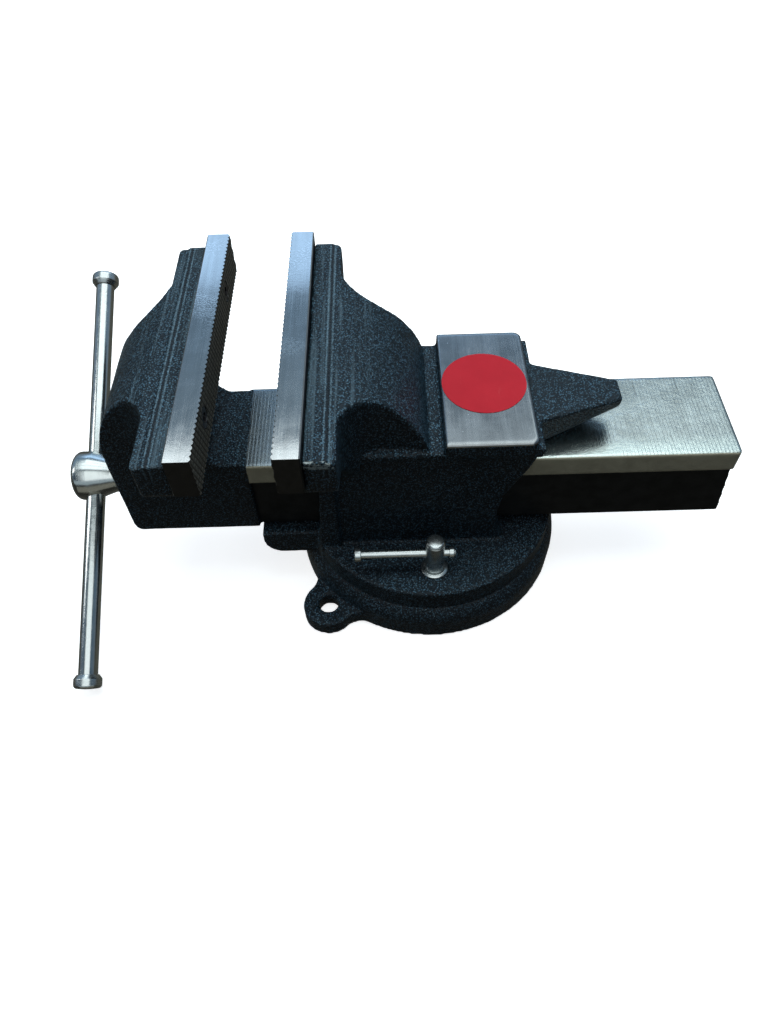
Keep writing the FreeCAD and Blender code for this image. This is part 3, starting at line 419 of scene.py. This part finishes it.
def bare_steel():
    """Plain turned steel, slightly dull."""
    look = Look("bare_steel", (0.42, 0.42, 0.41), 1.0, 0.35)
    cloud = look.noise(90, 4, 0.65)
    color = look.mix(cloud, (0.32, 0.32, 0.31), (0.5, 0.5, 0.49))
    roughness = look.ramp(cloud, 0.3, 0.7, 0.28, 0.48)
    normal = look.bump(look.noise(900, 3, 0.6), 0.06 * MM, 0.7)
    return look.finish(color, roughness, normal)


def black_steel():
    """Black oxide screws, rubbed lighter in random patches."""
    look = Look("black_steel", (0.04, 0.04, 0.045), 0.8, 0.4)
    cloud = look.noise(400, 3, 0.6)
    color = look.mix(look.ramp(cloud, 0.45, 0.8), (0.025, 0.025, 0.03), (0.16, 0.16, 0.16))
    roughness = look.ramp(cloud, 0.3, 0.7, 0.32, 0.5)
    normal = look.bump(look.noise(1200, 2, 0.6), 0.04 * MM, 0.6)
    return look.finish(color, roughness, normal)


def raw_iron():
    """Machined iron with an oily film."""
    look = Look("raw_iron", (0.16, 0.15, 0.14), 0.9, 0.45)
    cloud = look.noise(120, 4, 0.65)
    color = look.mix(cloud, (0.1, 0.095, 0.085), (0.22, 0.21, 0.2))
    roughness = look.ramp(cloud, 0.3, 0.7, 0.38, 0.58)
    normal = look.bump(look.noise(800, 3, 0.6), 0.1 * MM, 0.7)
    return look.finish(color, roughness, normal)


def label_vinyl():
    """Red sticker: printed vinyl with faint scuffs."""
    look = Look("label_vinyl", (0.5, 0.03, 0.035), 0.0, 0.35, 0.12)
    scuff = look.noise(1, 4, 0.7, vector=look.stretched((160, 30, 100)))
    print_dots = look.cells(1900)
    color = look.mix(look.noise(50, 3, 0.6), (0.46, 0.012, 0.022), (0.60, 0.020, 0.033))
    color = look.mix(look.ramp(scuff, 0.62, 0.85, 0.0, 0.2), color, (0.75, 0.3, 0.3))
    roughness = look.ramp(scuff, 0.3, 0.8, 0.3, 0.5)
    normal = look.bump(print_dots, 0.03 * MM, 0.5)
    normal = look.bump(look.noise(70, 2), 0.5 * MM, 0.3, normal)
    return look.finish(color, roughness, normal)


# ---------------------------------------------------------------- mesh helpers

def link(name, mesh, material, slot, *nodes):
    """Put a mesh in the scene as one piece of the object."""
    mesh.materials.clear()
    mesh.materials.append(material)
    piece = bpy.data.objects.new(name, mesh)
    bpy.context.scene.collection.objects.link(piece)
    if nodes:
        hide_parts(*nodes)
    return piece


def sharpen(mesh, degrees=34):
    """Smooth shading, broken at edges sharper than an angle."""
    shape = bmesh.new()
    shape.from_mesh(mesh)
    for face in shape.faces:
        face.smooth = True
    for edge in shape.edges:
        if len(edge.link_faces) == 2:
            edge.smooth = edge.calc_face_angle(0) < math.radians(degrees)
    shape.to_mesh(mesh)
    shape.free()
    return mesh


def applied(piece):
    """Mesh of a piece with its modifiers applied. The piece is removed."""
    graph = bpy.context.evaluated_depsgraph_get()
    mesh = bpy.data.meshes.new_from_object(piece.evaluated_get(graph))
    bpy.data.objects.remove(piece)
    return mesh


def scratch(mesh, name="scratch"):
    """A temporary object."""
    piece = bpy.data.objects.new(name, mesh)
    bpy.context.scene.collection.objects.link(piece)
    return piece


def casting(node, still, sunk):
    """Softened copy of a CAD casting: rounded edges, filled corners and an uneven skin where
    still(place, normal) is false. Where sunk(place, normal) is true the skin lies deeper."""
    mesh = frame["nodes"][node].data.copy()
    shape = bmesh.new()
    shape.from_mesh(mesh)
    bmesh.ops.remove_doubles(shape, verts=shape.verts, dist=1e-6)
    shape.to_mesh(mesh)
    shape.free()
    mesh.materials.clear()
    piece = scratch(mesh)
    remesh = piece.modifiers.new("voxels", "REMESH")
    remesh.mode = "VOXEL"
    remesh.voxel_size = CAST_VOXEL
    smooth = piece.modifiers.new("soft", "SMOOTH")
    smooth.factor = 0.5
    smooth.iterations = CAST_SMOOTHING
    mesh = applied(piece)
    shape = bmesh.new()
    shape.from_mesh(mesh)
    moves = []
    for vertex in shape.verts:
        if sunk(vertex.co, vertex.normal):
            moves.append((vertex, vertex.normal * -RUNNING_GAP))
        if still(vertex.co, vertex.normal):
            continue
        swell = noise.noise(vertex.co / (11 * MM)) + 0.5 * noise.noise(vertex.co / (4 * MM))
        moves.append((vertex, vertex.normal * (CAST_WOBBLE * swell)))
    for vertex, move in moves:
        vertex.co += move
    low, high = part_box(node)
    for vertex in shape.verts:
        vertex.co = [min(max(vertex.co[way], low[way]), high[way]) for way in range(3)]
    shape.to_mesh(mesh)
    shape.free()
    for polygon in mesh.polygons:
        polygon.use_smooth = True
    return mesh


def rounded(corners, steps=4):
    """A profile whose corners (r, z, radius) become arcs. A corner (r, z) stays sharp."""
    points = []
    for index, corner in enumerate(corners):
        here = Vector(corner[:2])
        radius = corner[2] if len(corner) > 2 else 0
        if radius == 0 or index in (0, len(corners) - 1):
            points.append(here)
            continue
        back = (Vector(corners[index - 1][:2]) - here).normalized()
        ahead = (Vector(corners[index + 1][:2]) - here).normalized()
        half = back.angle(ahead) / 2
        reach = radius / math.tan(half)
        centre = here + (back + ahead).normalized() * radius / math.sin(half)
        start = here + back * reach - centre
        turn = start.angle_signed(here + ahead * reach - centre)
        for step in range(steps + 1):
            spin = -turn * step / steps
            spun = Matrix.Rotation(spin, 2) @ start
            points.append(centre + spun)
    return [(point.x, point.y) for point in points]


def lathe(corners, segments=96, steps=4):
    """Closed mesh turned about local Z from a profile in millimetres."""
    shape = bmesh.new()
    rings = []
    for radius, height in rounded(corners, steps):
        if radius < 1e-6:
            rings.append([shape.verts.new((0, 0, height * MM))])
            continue
        ring = []
        for index in range(segments):
            angle = 2 * math.pi * index / segments
            ring.append(shape.verts.new((
                radius * MM * math.cos(angle), radius * MM * math.sin(angle), height * MM)))
        rings.append(ring)
    closed = len(rings[0]) > 1
    pairs = list(zip(rings, rings[1:])) + ([(rings[-1], rings[0])] if closed else [])
    for low, high in pairs:
        for index in range(segments):
            after = (index + 1) % segments
            if len(low) == 1 and len(high) == 1:
                break
            if len(low) == 1:
                shape.faces.new((low[0], high[after], high[index]))
            elif len(high) == 1:
                shape.faces.new((low[index], low[after], high[0]))
            else:
                shape.faces.new((low[index], low[after], high[after], high[index]))
    bmesh.ops.recalc_face_normals(shape, faces=shape.faces)
    mesh = bpy.data.meshes.new("lathe")
    shape.to_mesh(mesh)
    shape.free()
    return mesh


def drilled(mesh, *cutters):
    """Mesh with other meshes cut out of it."""
    piece = scratch(mesh)
    helpers = []
    for cutter in cutters:
        helper = scratch(cutter, "cutter")
        cut = piece.modifiers.new("cut", "BOOLEAN")
        cut.operation = "DIFFERENCE"
        cut.solver = "EXACT"
        cut.object = helper
        helpers.append(helper)
    result = applied(piece)
    for helper in helpers:
        bpy.data.objects.remove(helper)
    return result


def cross_hole(radius, reach, height=0.0):
    """Cutter for a round hole along local Y."""
    mesh = lathe([(0, -reach), (radius, -reach), (radius, reach), (0, reach)], 64)
    mesh.transform(Matrix.Translation((0, 0, height * MM)) @ Matrix.Rotation(math.pi / 2, 4, "X"))
    return mesh


def stand(piece, origin, way, body, side=Vector((1, 0, 0))):
    """Place a turned piece with local Z along a direction, and let it ride on its body."""
    z_way = way.normalized()
    y_way = z_way.cross(side).normalized()
    x_way = y_way.cross(z_way)
    turn = Matrix((x_way, y_way, z_way)).transposed().to_4x4()
    piece.matrix_world = Matrix.Translation(origin) @ turn
    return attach(piece, body)


# ---------------------------------------------------------------- castings

def make_castings():
    """The three castings, softened. Slide and channel leave each other room."""
    anvil_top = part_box("anvil_label")[0].z
    machined = slide_start()
    tail_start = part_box("movable_jaw")[1].x - 30 * MM
    corners = [vertex.co for vertex in frame["nodes"]["movable_jaw"].data.vertices]
    tail = [place for place in corners if place.x > tail_start]
    slide_half = max(abs(place.y) for place in tail) + RUNNING_GAP
    slide_bottom = min(place.z for place in tail) - RUNNING_GAP
    slide_top = max(place.z for place in tail) + RUNNING_GAP
    web_half = max(abs(place.y) for place in tail if place.z < slide_bottom + 2 * MM)
    flange_low = min(place.z for place in tail if abs(place.y) > slide_half - 2 * MM)
    corner_reach = 1.8 * MM

    def in_corner(place, normal):
        beside = abs(abs(place.y) - web_half) < corner_reach
        return place.x > machined and beside and abs(place.z - flange_low) < corner_reach

    def in_channel(place, normal):
        return abs(place.y) < slide_half and slide_bottom < place.z < slide_top and abs(normal.x) < 0.7

    def on_anvil(place, normal):
        return in_channel(place, normal) or place.z > anvil_top - 1.5 * MM and place.x > 0

    def on_slide(place, normal):
        return place.x > machined

    def nowhere(place, normal):
        return False

    for node, body, material, still, sunk in (
        ("swivel_base", "base", base_paint(), nowhere, nowhere),
        ("fixed_jaw_body", "fixed", fixed_casting_paint(), on_anvil, in_channel),
        ("movable_jaw", "movable", slide_paint(), on_slide, in_corner),
    ):
        piece = link(f"{node}_casting", casting(node, still, sunk), material, "casting_paint", node)
        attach(piece, body)


# ---------------------------------------------------------------- jaw plates

TEETH_LONG = 52
TEETH_TALL = 3
TEETH_STEPS = 4
TOOTH_DEPTH = 1.1 * MM
PLATE_BEVEL = 0.7 * MM


def tooth_height(along, up):
    """Height of crossed V grooves, 0 at a groove's bottom and 1 at a tooth's tip. One way is cut
    less deep than the other. Going up, the deep grooves lean backwards."""
    heights = []
    for place in ((along + up) / 2, (along - up) / 2):
        offset = place - math.floor(place)
        heights.append(1 - abs(2 * offset - 1))
    return min(1.0, 1.5 * heights[0], 0.5 + 1.2 * heights[1])


def toothed_grid(shape, low, high, face, inward):
    """Columns of vertices of the toothed face, with the faces between them."""
    columns = TEETH_LONG * TEETH_STEPS
    rows = TEETH_TALL * TEETH_STEPS
    grid = []
    for column in range(columns + 1):
        line = []
        for row in range(rows + 1):
            y = low.y + (high.y - low.y) * column / columns
            z = low.z + (high.z - low.z) * row / rows
            height = tooth_height(2 * column / TEETH_STEPS, -inward * 2 * row / TEETH_STEPS)
            line.append(shape.verts.new((face + inward * TOOTH_DEPTH * (1 - height), y, z)))
        grid.append(line)
    for column in range(columns):
        for row in range(rows):
            a, b = grid[column][row], grid[column + 1][row]
            c, d = grid[column + 1][row + 1], grid[column][row + 1]
            if (column + row) % 2:
                shape.faces.new((a, b, c))
                shape.faces.new((a, c, d))
            else:
                shape.faces.new((a, b, d))
                shape.faces.new((b, c, d))
    return grid


def make_jaw_plate(name, node, body, material, inward):
    """Plate with real crossed teeth on its working face, a bevelled back and counterbored holes."""
    low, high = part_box(node)
    face = low.x if inward > 0 else high.x
    back = high.x if inward > 0 else low.x
    shape = bmesh.new()
    grid = toothed_grid(shape, low, high, face, inward)
    rim = (
        [line[0] for line in grid[:-1]]
        + grid[-1][:-1]
        + [line[-1] for line in grid[:0:-1]]
        + grid[0][:0:-1]
    )
    loops = [rim]
    for depth, inset in ((back - inward * PLATE_BEVEL, 0.0), (back, PLATE_BEVEL)):
        loop = []
        for vertex in rim:
            y = min(max(vertex.co.y, low.y + inset), high.y - inset)
            z = min(max(vertex.co.z, low.z + inset), high.z - inset)
            loop.append(shape.verts.new((depth, y, z)))
        loops.append(loop)
    for first, second in zip(loops, loops[1:]):
        for index in range(len(rim)):
            after = (index + 1) % len(rim)
            shape.faces.new((first[index], first[after], second[after], second[index]))
    shape.faces.new(loops[-1])
    bmesh.ops.recalc_face_normals(shape, faces=shape.faces)
    mesh = bpy.data.meshes.new(name)
    shape.to_mesh(mesh)
    shape.free()
    cutters = []
    for end in ("near", "far"):
        screw = middle(node.replace("jaw_plate", "plate_screw") + "_" + end)
        cutter = lathe([(0, -2), (6.6, -2), (6.6, 8.5), (4.3, 8.5), (4.3, 20), (0, 20)], 48)
        turn = Matrix.Rotation(inward * math.pi / 2, 4, "Y")
        cutter.transform(Matrix.Translation((face, screw.y, screw.z)) @ turn)
        cutters.append(cutter)
    mesh = sharpen(drilled(mesh, *cutters), 20)
    piece = link(name, mesh, material, "ground_steel", node)
    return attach(piece, body)


# ---------------------------------------------------------------- screw, handle, locks

# Millimetres, as the turned profiles are.

THREAD_RADIUS = 14
THREAD_ROOT = 11.4
THREAD_PITCH = 6
THREAD_START = 93
BAR_RADIUS = 6.5
LOCK_BAR_RADIUS = 3


def screw_ridge(radius, root, pitch, start, end):
    """Closed helical ridge of a trapezoid thread along local Z, in millimetres, fading at both ends."""
    shape = bmesh.new()
    per_turn = 40
    count = int((end - start) / pitch * per_turn)
    rings = []
    for index in range(count + 1):
        angle = 2 * math.pi * index / per_turn
        fade = min(1.0, index / per_turn * 2, (count - index) / per_turn * 2)
        crest = root + (radius - root) * fade
        height = start + pitch * index / per_turn
        ring = []
        for reach, offset in ((root - 0.3, -1.9), (crest, -1.15), (crest, 1.15), (root - 0.3, 1.9)):
            ring.append(shape.verts.new((
                reach * MM * math.cos(angle), reach * MM * math.sin(angle), (height + offset) * MM)))
        rings.append(ring)
    for first, second in zip(rings, rings[1:]):
        for side in range(4):
            after = (side + 1) % 4
            shape.faces.new((first[side], second[side], second[after], first[after]))
    shape.faces.new(rings[0])
    shape.faces.new(rings[-1])
    bmesh.ops.recalc_face_normals(shape, faces=shape.faces)
    mesh = bpy.data.meshes.new("ridge")
    shape.to_mesh(mesh)
    shape.free()
    return mesh


def joined(*meshes):
    """Several meshes as one."""
    shape = bmesh.new()
    for mesh in meshes:
        shape.from_mesh(mesh)
    result = bpy.data.meshes.new("joined")
    shape.to_mesh(result)
    shape.free()
    return result


def make_lead_screw(material):
    """Screw with a rounded head, a drilled handle hole and a helical thread."""
    low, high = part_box("lead_screw")
    long = (high.x - low.x) / MM
    hole = middle("handle_bar").x / MM - low.x / MM
    rear = (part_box("thrust_washer")[0].x - low.x) / MM - 0.1
    head = lathe([
        (0, 0.6), (11, 0, 3), (17.5, 0, 5), (17.5, hole - 1, 9), (12.2, rear - 9, 5), (12.2, rear - 5.5, 2),
        (16.5, rear - 3, 0.6), (16.5, rear, 0.6), (14.2, rear), (14.2, THREAD_START - 2, 0.8),
        (THREAD_ROOT, THREAD_START - 1, 0.3), (THREAD_ROOT, long - 1.5, 0.5), (10, long), (0, long),
    ], 128, 8)
    head = drilled(head, cross_hole(BAR_RADIUS + 0.25, 30, hole))
    ridge = screw_ridge(THREAD_RADIUS, THREAD_ROOT, THREAD_PITCH, THREAD_START, long - 3)
    mesh = sharpen(joined(head, ridge))
    piece = link("lead_screw_turned", mesh, material, "plated_steel", "lead_screw")
    along_x = Vector((1, 0, 0))
    return stand(piece, Vector((low.x, 0, SCREW_HEIGHT)), along_x, "screw", BAR_WAY.cross(along_x))


def make_handle(material, knob_material):
    """Bar and its two knobs, each turned about its own axis. The lower knob is dented."""
    centre = middle("handle_bar")
    low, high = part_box("handle_bar")
    knob_wall = 2
    half = ((high.y - low.y) / 2 / MM - BAR_RADIUS * BAR_WAY.z) / BAR_WAY.y + knob_wall
    end = half - knob_wall
    bar = lathe([(0, -end), (BAR_RADIUS, -end), (BAR_RADIUS, end), (0, end)], 96)
    piece = link("handle_bar_turned", sharpen(bar), material, "plated_steel", "handle_bar")
    stand(piece, centre, BAR_WAY, "handle")
    for side, way, dents in (("upper", BAR_WAY, 0.05), ("lower", -BAR_WAY, 0.3)):
        cap = lathe([
            (BAR_RADIUS, half - 9.6), (7.3, half - 10, 0.4), (9.5, half - 7, 1.2), (9.5, half - 5.5),
            (9.5, half - 4), (9.4, half - 0.7, 2.6), (5, half - 0.2), (2.5, half), (0, half), (0, end),
            (BAR_RADIUS, end),
        ], 96, 8)
        sharpen(cap, 50)
        for vertex in cap.vertices:
            dent = noise.noise(vertex.co / (5 * MM) + Vector((0, 0, way.z * 9)))
            vertex.co -= vertex.normal * max(0, dent) * dents * MM
        node = f"handle_cap_{side}"
        piece = link(f"{node}_forged", cap, knob_material, "plated_steel", node)
        stand(piece, centre, way, "handle")


def make_lock(name, side, material):
    """Washer, domed nut, bar and knobs of one swivel lock."""
    nut_low, nut_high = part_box(f"{name}_lock_nut")
    nut_middle = middle(f"{name}_lock_nut")
    bar_height = middle(f"{name}_lock_bar").z
    foot = Vector((nut_middle.x, nut_middle.y, nut_low.z))
    up = Vector((0, 0, 1))
    tall = (nut_high.z - nut_low.z) / MM
    nut = lathe([
        (0, 12.5), (5.05, 12.5), (5.05, 0), (6.1, 0, 0.3), (6.5, 0.6, 0.3), (6.5, tall - 3.2, 0.3),
        (6.15, tall - 2.9, 0.2), (6.5, tall - 2.6, 0.3), (5.4, tall - 0.9, 1.2), (0, tall),
    ], 96)
    hole = cross_hole(LOCK_BAR_RADIUS + 0.1, 10, (bar_height - nut_low.z) / MM)
    hole.transform(Matrix.Rotation(math.pi / 2, 4, "Z"))
    nut = sharpen(drilled(nut, hole), 40)
    piece = link(f"{name}_lock_nut_turned", nut, material, "plated_steel", f"{name}_lock_nut")
    stand(piece, foot, up, f"{name}_lock")

    node = f"{name}_lock_washer"
    washer = sharpen(lathe([
        (5.3, 0), (9.0, 0, 0.2), (9.4, 0.5, 0.3), (9.2, 1.5, 0.5), (7.4, 2.4, 0.4), (6.9, 2.1, 0.3),
        (5.3, 2.1),
    ], 96))
    piece = link(f"{node}_turned", washer, material, "plated_steel", node)
    stand(piece, Vector((foot.x, foot.y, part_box(node)[0].z)), up, "fixed")

    way = Vector((side, 0, 0))
    origin = Vector((foot.x, foot.y, bar_height))
    radius = LOCK_BAR_RADIUS
    lever_parts = (
        ("bar", [(0, -53), (radius, -53), (radius, 13), (0, 13)]),
        ("bar_cap_long", [
            (0, -54), (5, -54, 0.8), (5, -49.5, 0.6), (radius, -49.5), (radius, -53), (0, -53),
        ]),
        ("bar_cap_short", [
            (radius, 9.5), (4, 9.5, 0.4), (4, 12.8, 0.5), (2.4, 12.8, 0.2), (2.2, 14, 0.5), (0, 14), (0, 13),
            (radius, 13),
        ]),
    )
    for part, profile in lever_parts:
        node = f"{name}_lock_{part}"
        piece = link(f"{node}_turned", sharpen(lathe(profile, 64)), material, "plated_steel", node)
        stand(piece, origin, way, f"{name}_lock_lever", up)


# ---------------------------------------------------------------- label and plain CAD nodes

def make_label(material):
    """Round sticker with a rounded edge."""
    low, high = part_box("anvil_label")
    centre = (low + high) / 2
    radius = (high.x - low.x) / 2 / MM
    thick = (high.z - low.z) / MM
    disc = lathe([
        (0, 0), (radius, 0), (radius, thick, 0.08), (radius * 0.97, thick), (radius * 0.6, thick),
        (radius * 0.3, thick), (0, thick),
    ], 160)
    piece = link("anvil_label_print", sharpen(disc), material, "label_vinyl", "anvil_label")
    return stand(piece, Vector((centre.x, centre.y, low.z)), Vector((0, 0, 1)), "fixed")


def paint_plain_nodes(looks):
    """Materials of the CAD nodes that are shown as they are."""
    slots = {item["node"]: item["material_slot"] for item in frame["record"]["subparts"]}
    for name, node in frame["nodes"].items():
        if node.hide_render:
            continue
        node.data.materials.clear()
        node.data.materials.append(looks[slots[name]])
        for polygon in node.data.polygons:
            polygon.material_index = 0


# ---------------------------------------------------------------- studio

# Metres. The strips are the Y ranges of three ceiling lights.

CEILING_HEIGHT = 1.75
CEILING_STRIPS = ((-0.3, 0.22), (0.27, 0.72), (0.77, 1.31))
CEILING_POWER = 10.4
FLOOR_REACH = 12.0
OBJECT_MIDDLE = (0, 0, 0.1)
CAMERA_PLACE = Vector((-28.3, -358.1, 496.4)) * MM
CAMERA_AHEAD = Vector((-0.0076, 0.6022, -0.7983))
CAMERA_RIGHT = Vector((0.9996, -0.0179, -0.0230))
CAMERA_LENS = 27.07


def soft_light(name, place, aim, size, power, color=(1, 1, 1)):
    """One area light."""
    lamp = bpy.data.lights.new(name, "AREA")
    lamp.shape = "RECTANGLE"
    lamp.size, lamp.size_y = size
    lamp.energy = power
    lamp.color = color
    holder = bpy.data.objects.new(name, lamp)
    bpy.context.scene.collection.objects.link(holder)
    holder.location = place
    holder.rotation_mode = "QUATERNION"
    holder.rotation_quaternion = (Vector(aim) - Vector(place)).to_track_quat("-Z", "Y")
    return holder


def make_sky():
    """Studio surroundings: dim and bluish in reflections, darker in front of the object, and a plain
    pale backdrop where they are seen directly."""
    world = bpy.data.worlds.new("studio")
    bpy.context.scene.world = world
    world.use_nodes = True
    nodes, links = world.node_tree.nodes, world.node_tree.links
    where = nodes.new("ShaderNodeTexCoord")
    split = nodes.new("ShaderNodeSeparateXYZ")
    links.new(where.outputs["Generated"], split.inputs[0])
    fade = nodes.new("ShaderNodeValToRGB")
    links.new(split.outputs[2], fade.inputs[0])
    stops = (
        (0.0, (0.10, 0.10, 0.085)),
        (0.10, (0.20, 0.25, 0.30)),
        (0.62, (0.18, 0.28, 0.39)),
        (0.85, (0.30, 0.38, 0.42)),
    )
    ramp = fade.color_ramp
    while len(ramp.elements) < len(stops):
        ramp.elements.new(0.5)
    for element, (height, color) in zip(ramp.elements, stops):
        element.position = height
        element.color = (*color, 1)
    links.new(fade.outputs[0], nodes["Background"].inputs["Color"])
    side = nodes.new("ShaderNodeMapRange")
    links.new(split.outputs[1], side.inputs[0])
    for index, value in enumerate((-0.6, 0.3, 0.25, 1.0), 1):
        side.inputs[index].default_value = value
    links.new(side.outputs[0], nodes["Background"].inputs["Strength"])
    backdrop = nodes.new("ShaderNodeBackground")
    backdrop.inputs["Color"].default_value = (0.95, 0.97, 1.0, 1)
    seen = nodes.new("ShaderNodeMixShader")
    links.new(nodes.new("ShaderNodeLightPath").outputs["Is Camera Ray"], seen.inputs[0])
    links.new(nodes["Background"].outputs[0], seen.inputs[1])
    links.new(backdrop.outputs[0], seen.inputs[2])
    links.new(seen.outputs[0], nodes["World Output"].inputs["Surface"])


def make_floor():
    """Pale floor that throws no light back on the object."""
    look = Look("floor_paper", (0.9, 0.9, 0.9), 0.0, 0.9, 0.1)
    shade = look.mix(look.noise(2, 3), (0.89, 0.89, 0.89), (0.92, 0.92, 0.92))
    look.shader.inputs["Emission Color"].default_value = (1, 1, 1, 1)
    look.shader.inputs["Emission Strength"].default_value = 0.8
    reach = FLOOR_REACH
    corners = [(-reach, -reach, 0), (reach, -reach, 0), (reach, reach, 0), (-reach, reach, 0)]
    mesh = bpy.data.meshes.new("floor")
    mesh.from_pydata(corners, [], [(0, 1, 2, 3)])
    mesh.materials.append(look.finish(shade, None, look.bump(look.noise(900, 2), 0.1 * MM, 0.2)))
    floor = bpy.data.objects.new("floor", mesh)
    bpy.context.scene.collection.objects.link(floor)
    floor.visible_diffuse = False
    floor.visible_glossy = False
    floor.visible_shadow = False


def make_lights():
    """Soft lights. The cards only show in reflections, and the top fill shows in none."""
    for number, (start, end) in enumerate(CEILING_STRIPS):
        centre = (start + end) / 2
        place = (0, centre, CEILING_HEIGHT)
        power = CEILING_POWER * (end - start)
        soft_light(f"ceiling_{number}", place, (0, centre, 0), (2.0, end - start), power, (0.93, 1.0, 1.0))
    place = (1.05, 1.5, CEILING_HEIGHT)
    soft_light("ceiling_right", place, (1.05, 1.5, 0), (0.8, 0.4), 1.5, (0.90, 1.0, 0.97))
    for name, place, size, power, color in (
        ("front_card", (0, -1.2, 1.45), (2.0, 1.5), 12, (0.95, 1.0, 0.99)),
        ("low_card", (0, -1.5, -0.45), (2.4, 0.9), 1.3, (1.0, 0.97, 0.8)),
        ("far_card", (0, -2.6, 0.85), (8.0, 0.9), 9.0, (0.85, 1.0, 1.05)),
    ):
        card = soft_light(name, place, OBJECT_MIDDLE, size, power, color)
        card.visible_diffuse = False
    fill = soft_light("top_fill", (0, 0.15, 1.6), (0, 0.15, 0), (0.6, 0.6), 6.5, (0.88, 1.0, 1.03))
    fill.visible_glossy = False
    soft_light("window", (-0.1, 2.5, 1.52), (-0.1, 0, 0.2), (2.6, 0.8), 7.5, (0.52, 0.78, 1.12))
    soft_light("left", (-1.5, -0.1, 1.0), (-0.1, 0, 0.1), (0.35, 0.8), 3, (1.0, 0.99, 0.96))


def make_camera():
    """Camera at the photograph's viewing angle."""
    camera = bpy.data.cameras.new("camera")
    camera.sensor_fit = "AUTO"
    camera.sensor_width = 36
    camera.lens = CAMERA_LENS
    camera.clip_start = 0.02
    camera.clip_end = 50
    holder = bpy.data.objects.new("camera", camera)
    bpy.context.scene.collection.objects.link(holder)
    ahead = CAMERA_AHEAD.normalized()
    up = CAMERA_RIGHT.normalized().cross(ahead).normalized()
    right = ahead.cross(up)
    turn = Matrix((right, up, -ahead)).transposed().to_4x4()
    holder.matrix_world = Matrix.Translation(CAMERA_PLACE) @ turn
    bpy.context.scene.camera = holder
    bpy.context.scene.view_settings.view_transform = "Standard"


# ---------------------------------------------------------------- everything

plated = plated_steel()
plates = ground_steel()
make_castings()
make_jaw_plate("fixed_jaw_plate_toothed", "fixed_jaw_plate", "fixed", plates, 1)
make_jaw_plate("movable_jaw_plate_toothed", "movable_jaw_plate", "movable", plates, -1)
make_lead_screw(plated)
dull_plated = plated_steel("dull_plated_steel", (0.2, 0.32))
make_handle(plated, dull_plated)
make_lock("front", 1, dull_plated)
make_lock("rear", -1, dull_plated)
make_label(label_vinyl())
paint_plain_nodes({
    "bare_steel": bare_steel(),
    "black_steel": black_steel(),
    "raw_iron": raw_iron(),
    "plated_steel": plated,
    "ground_steel": plates,
})
make_floor()
make_sky()
make_lights()
make_camera()
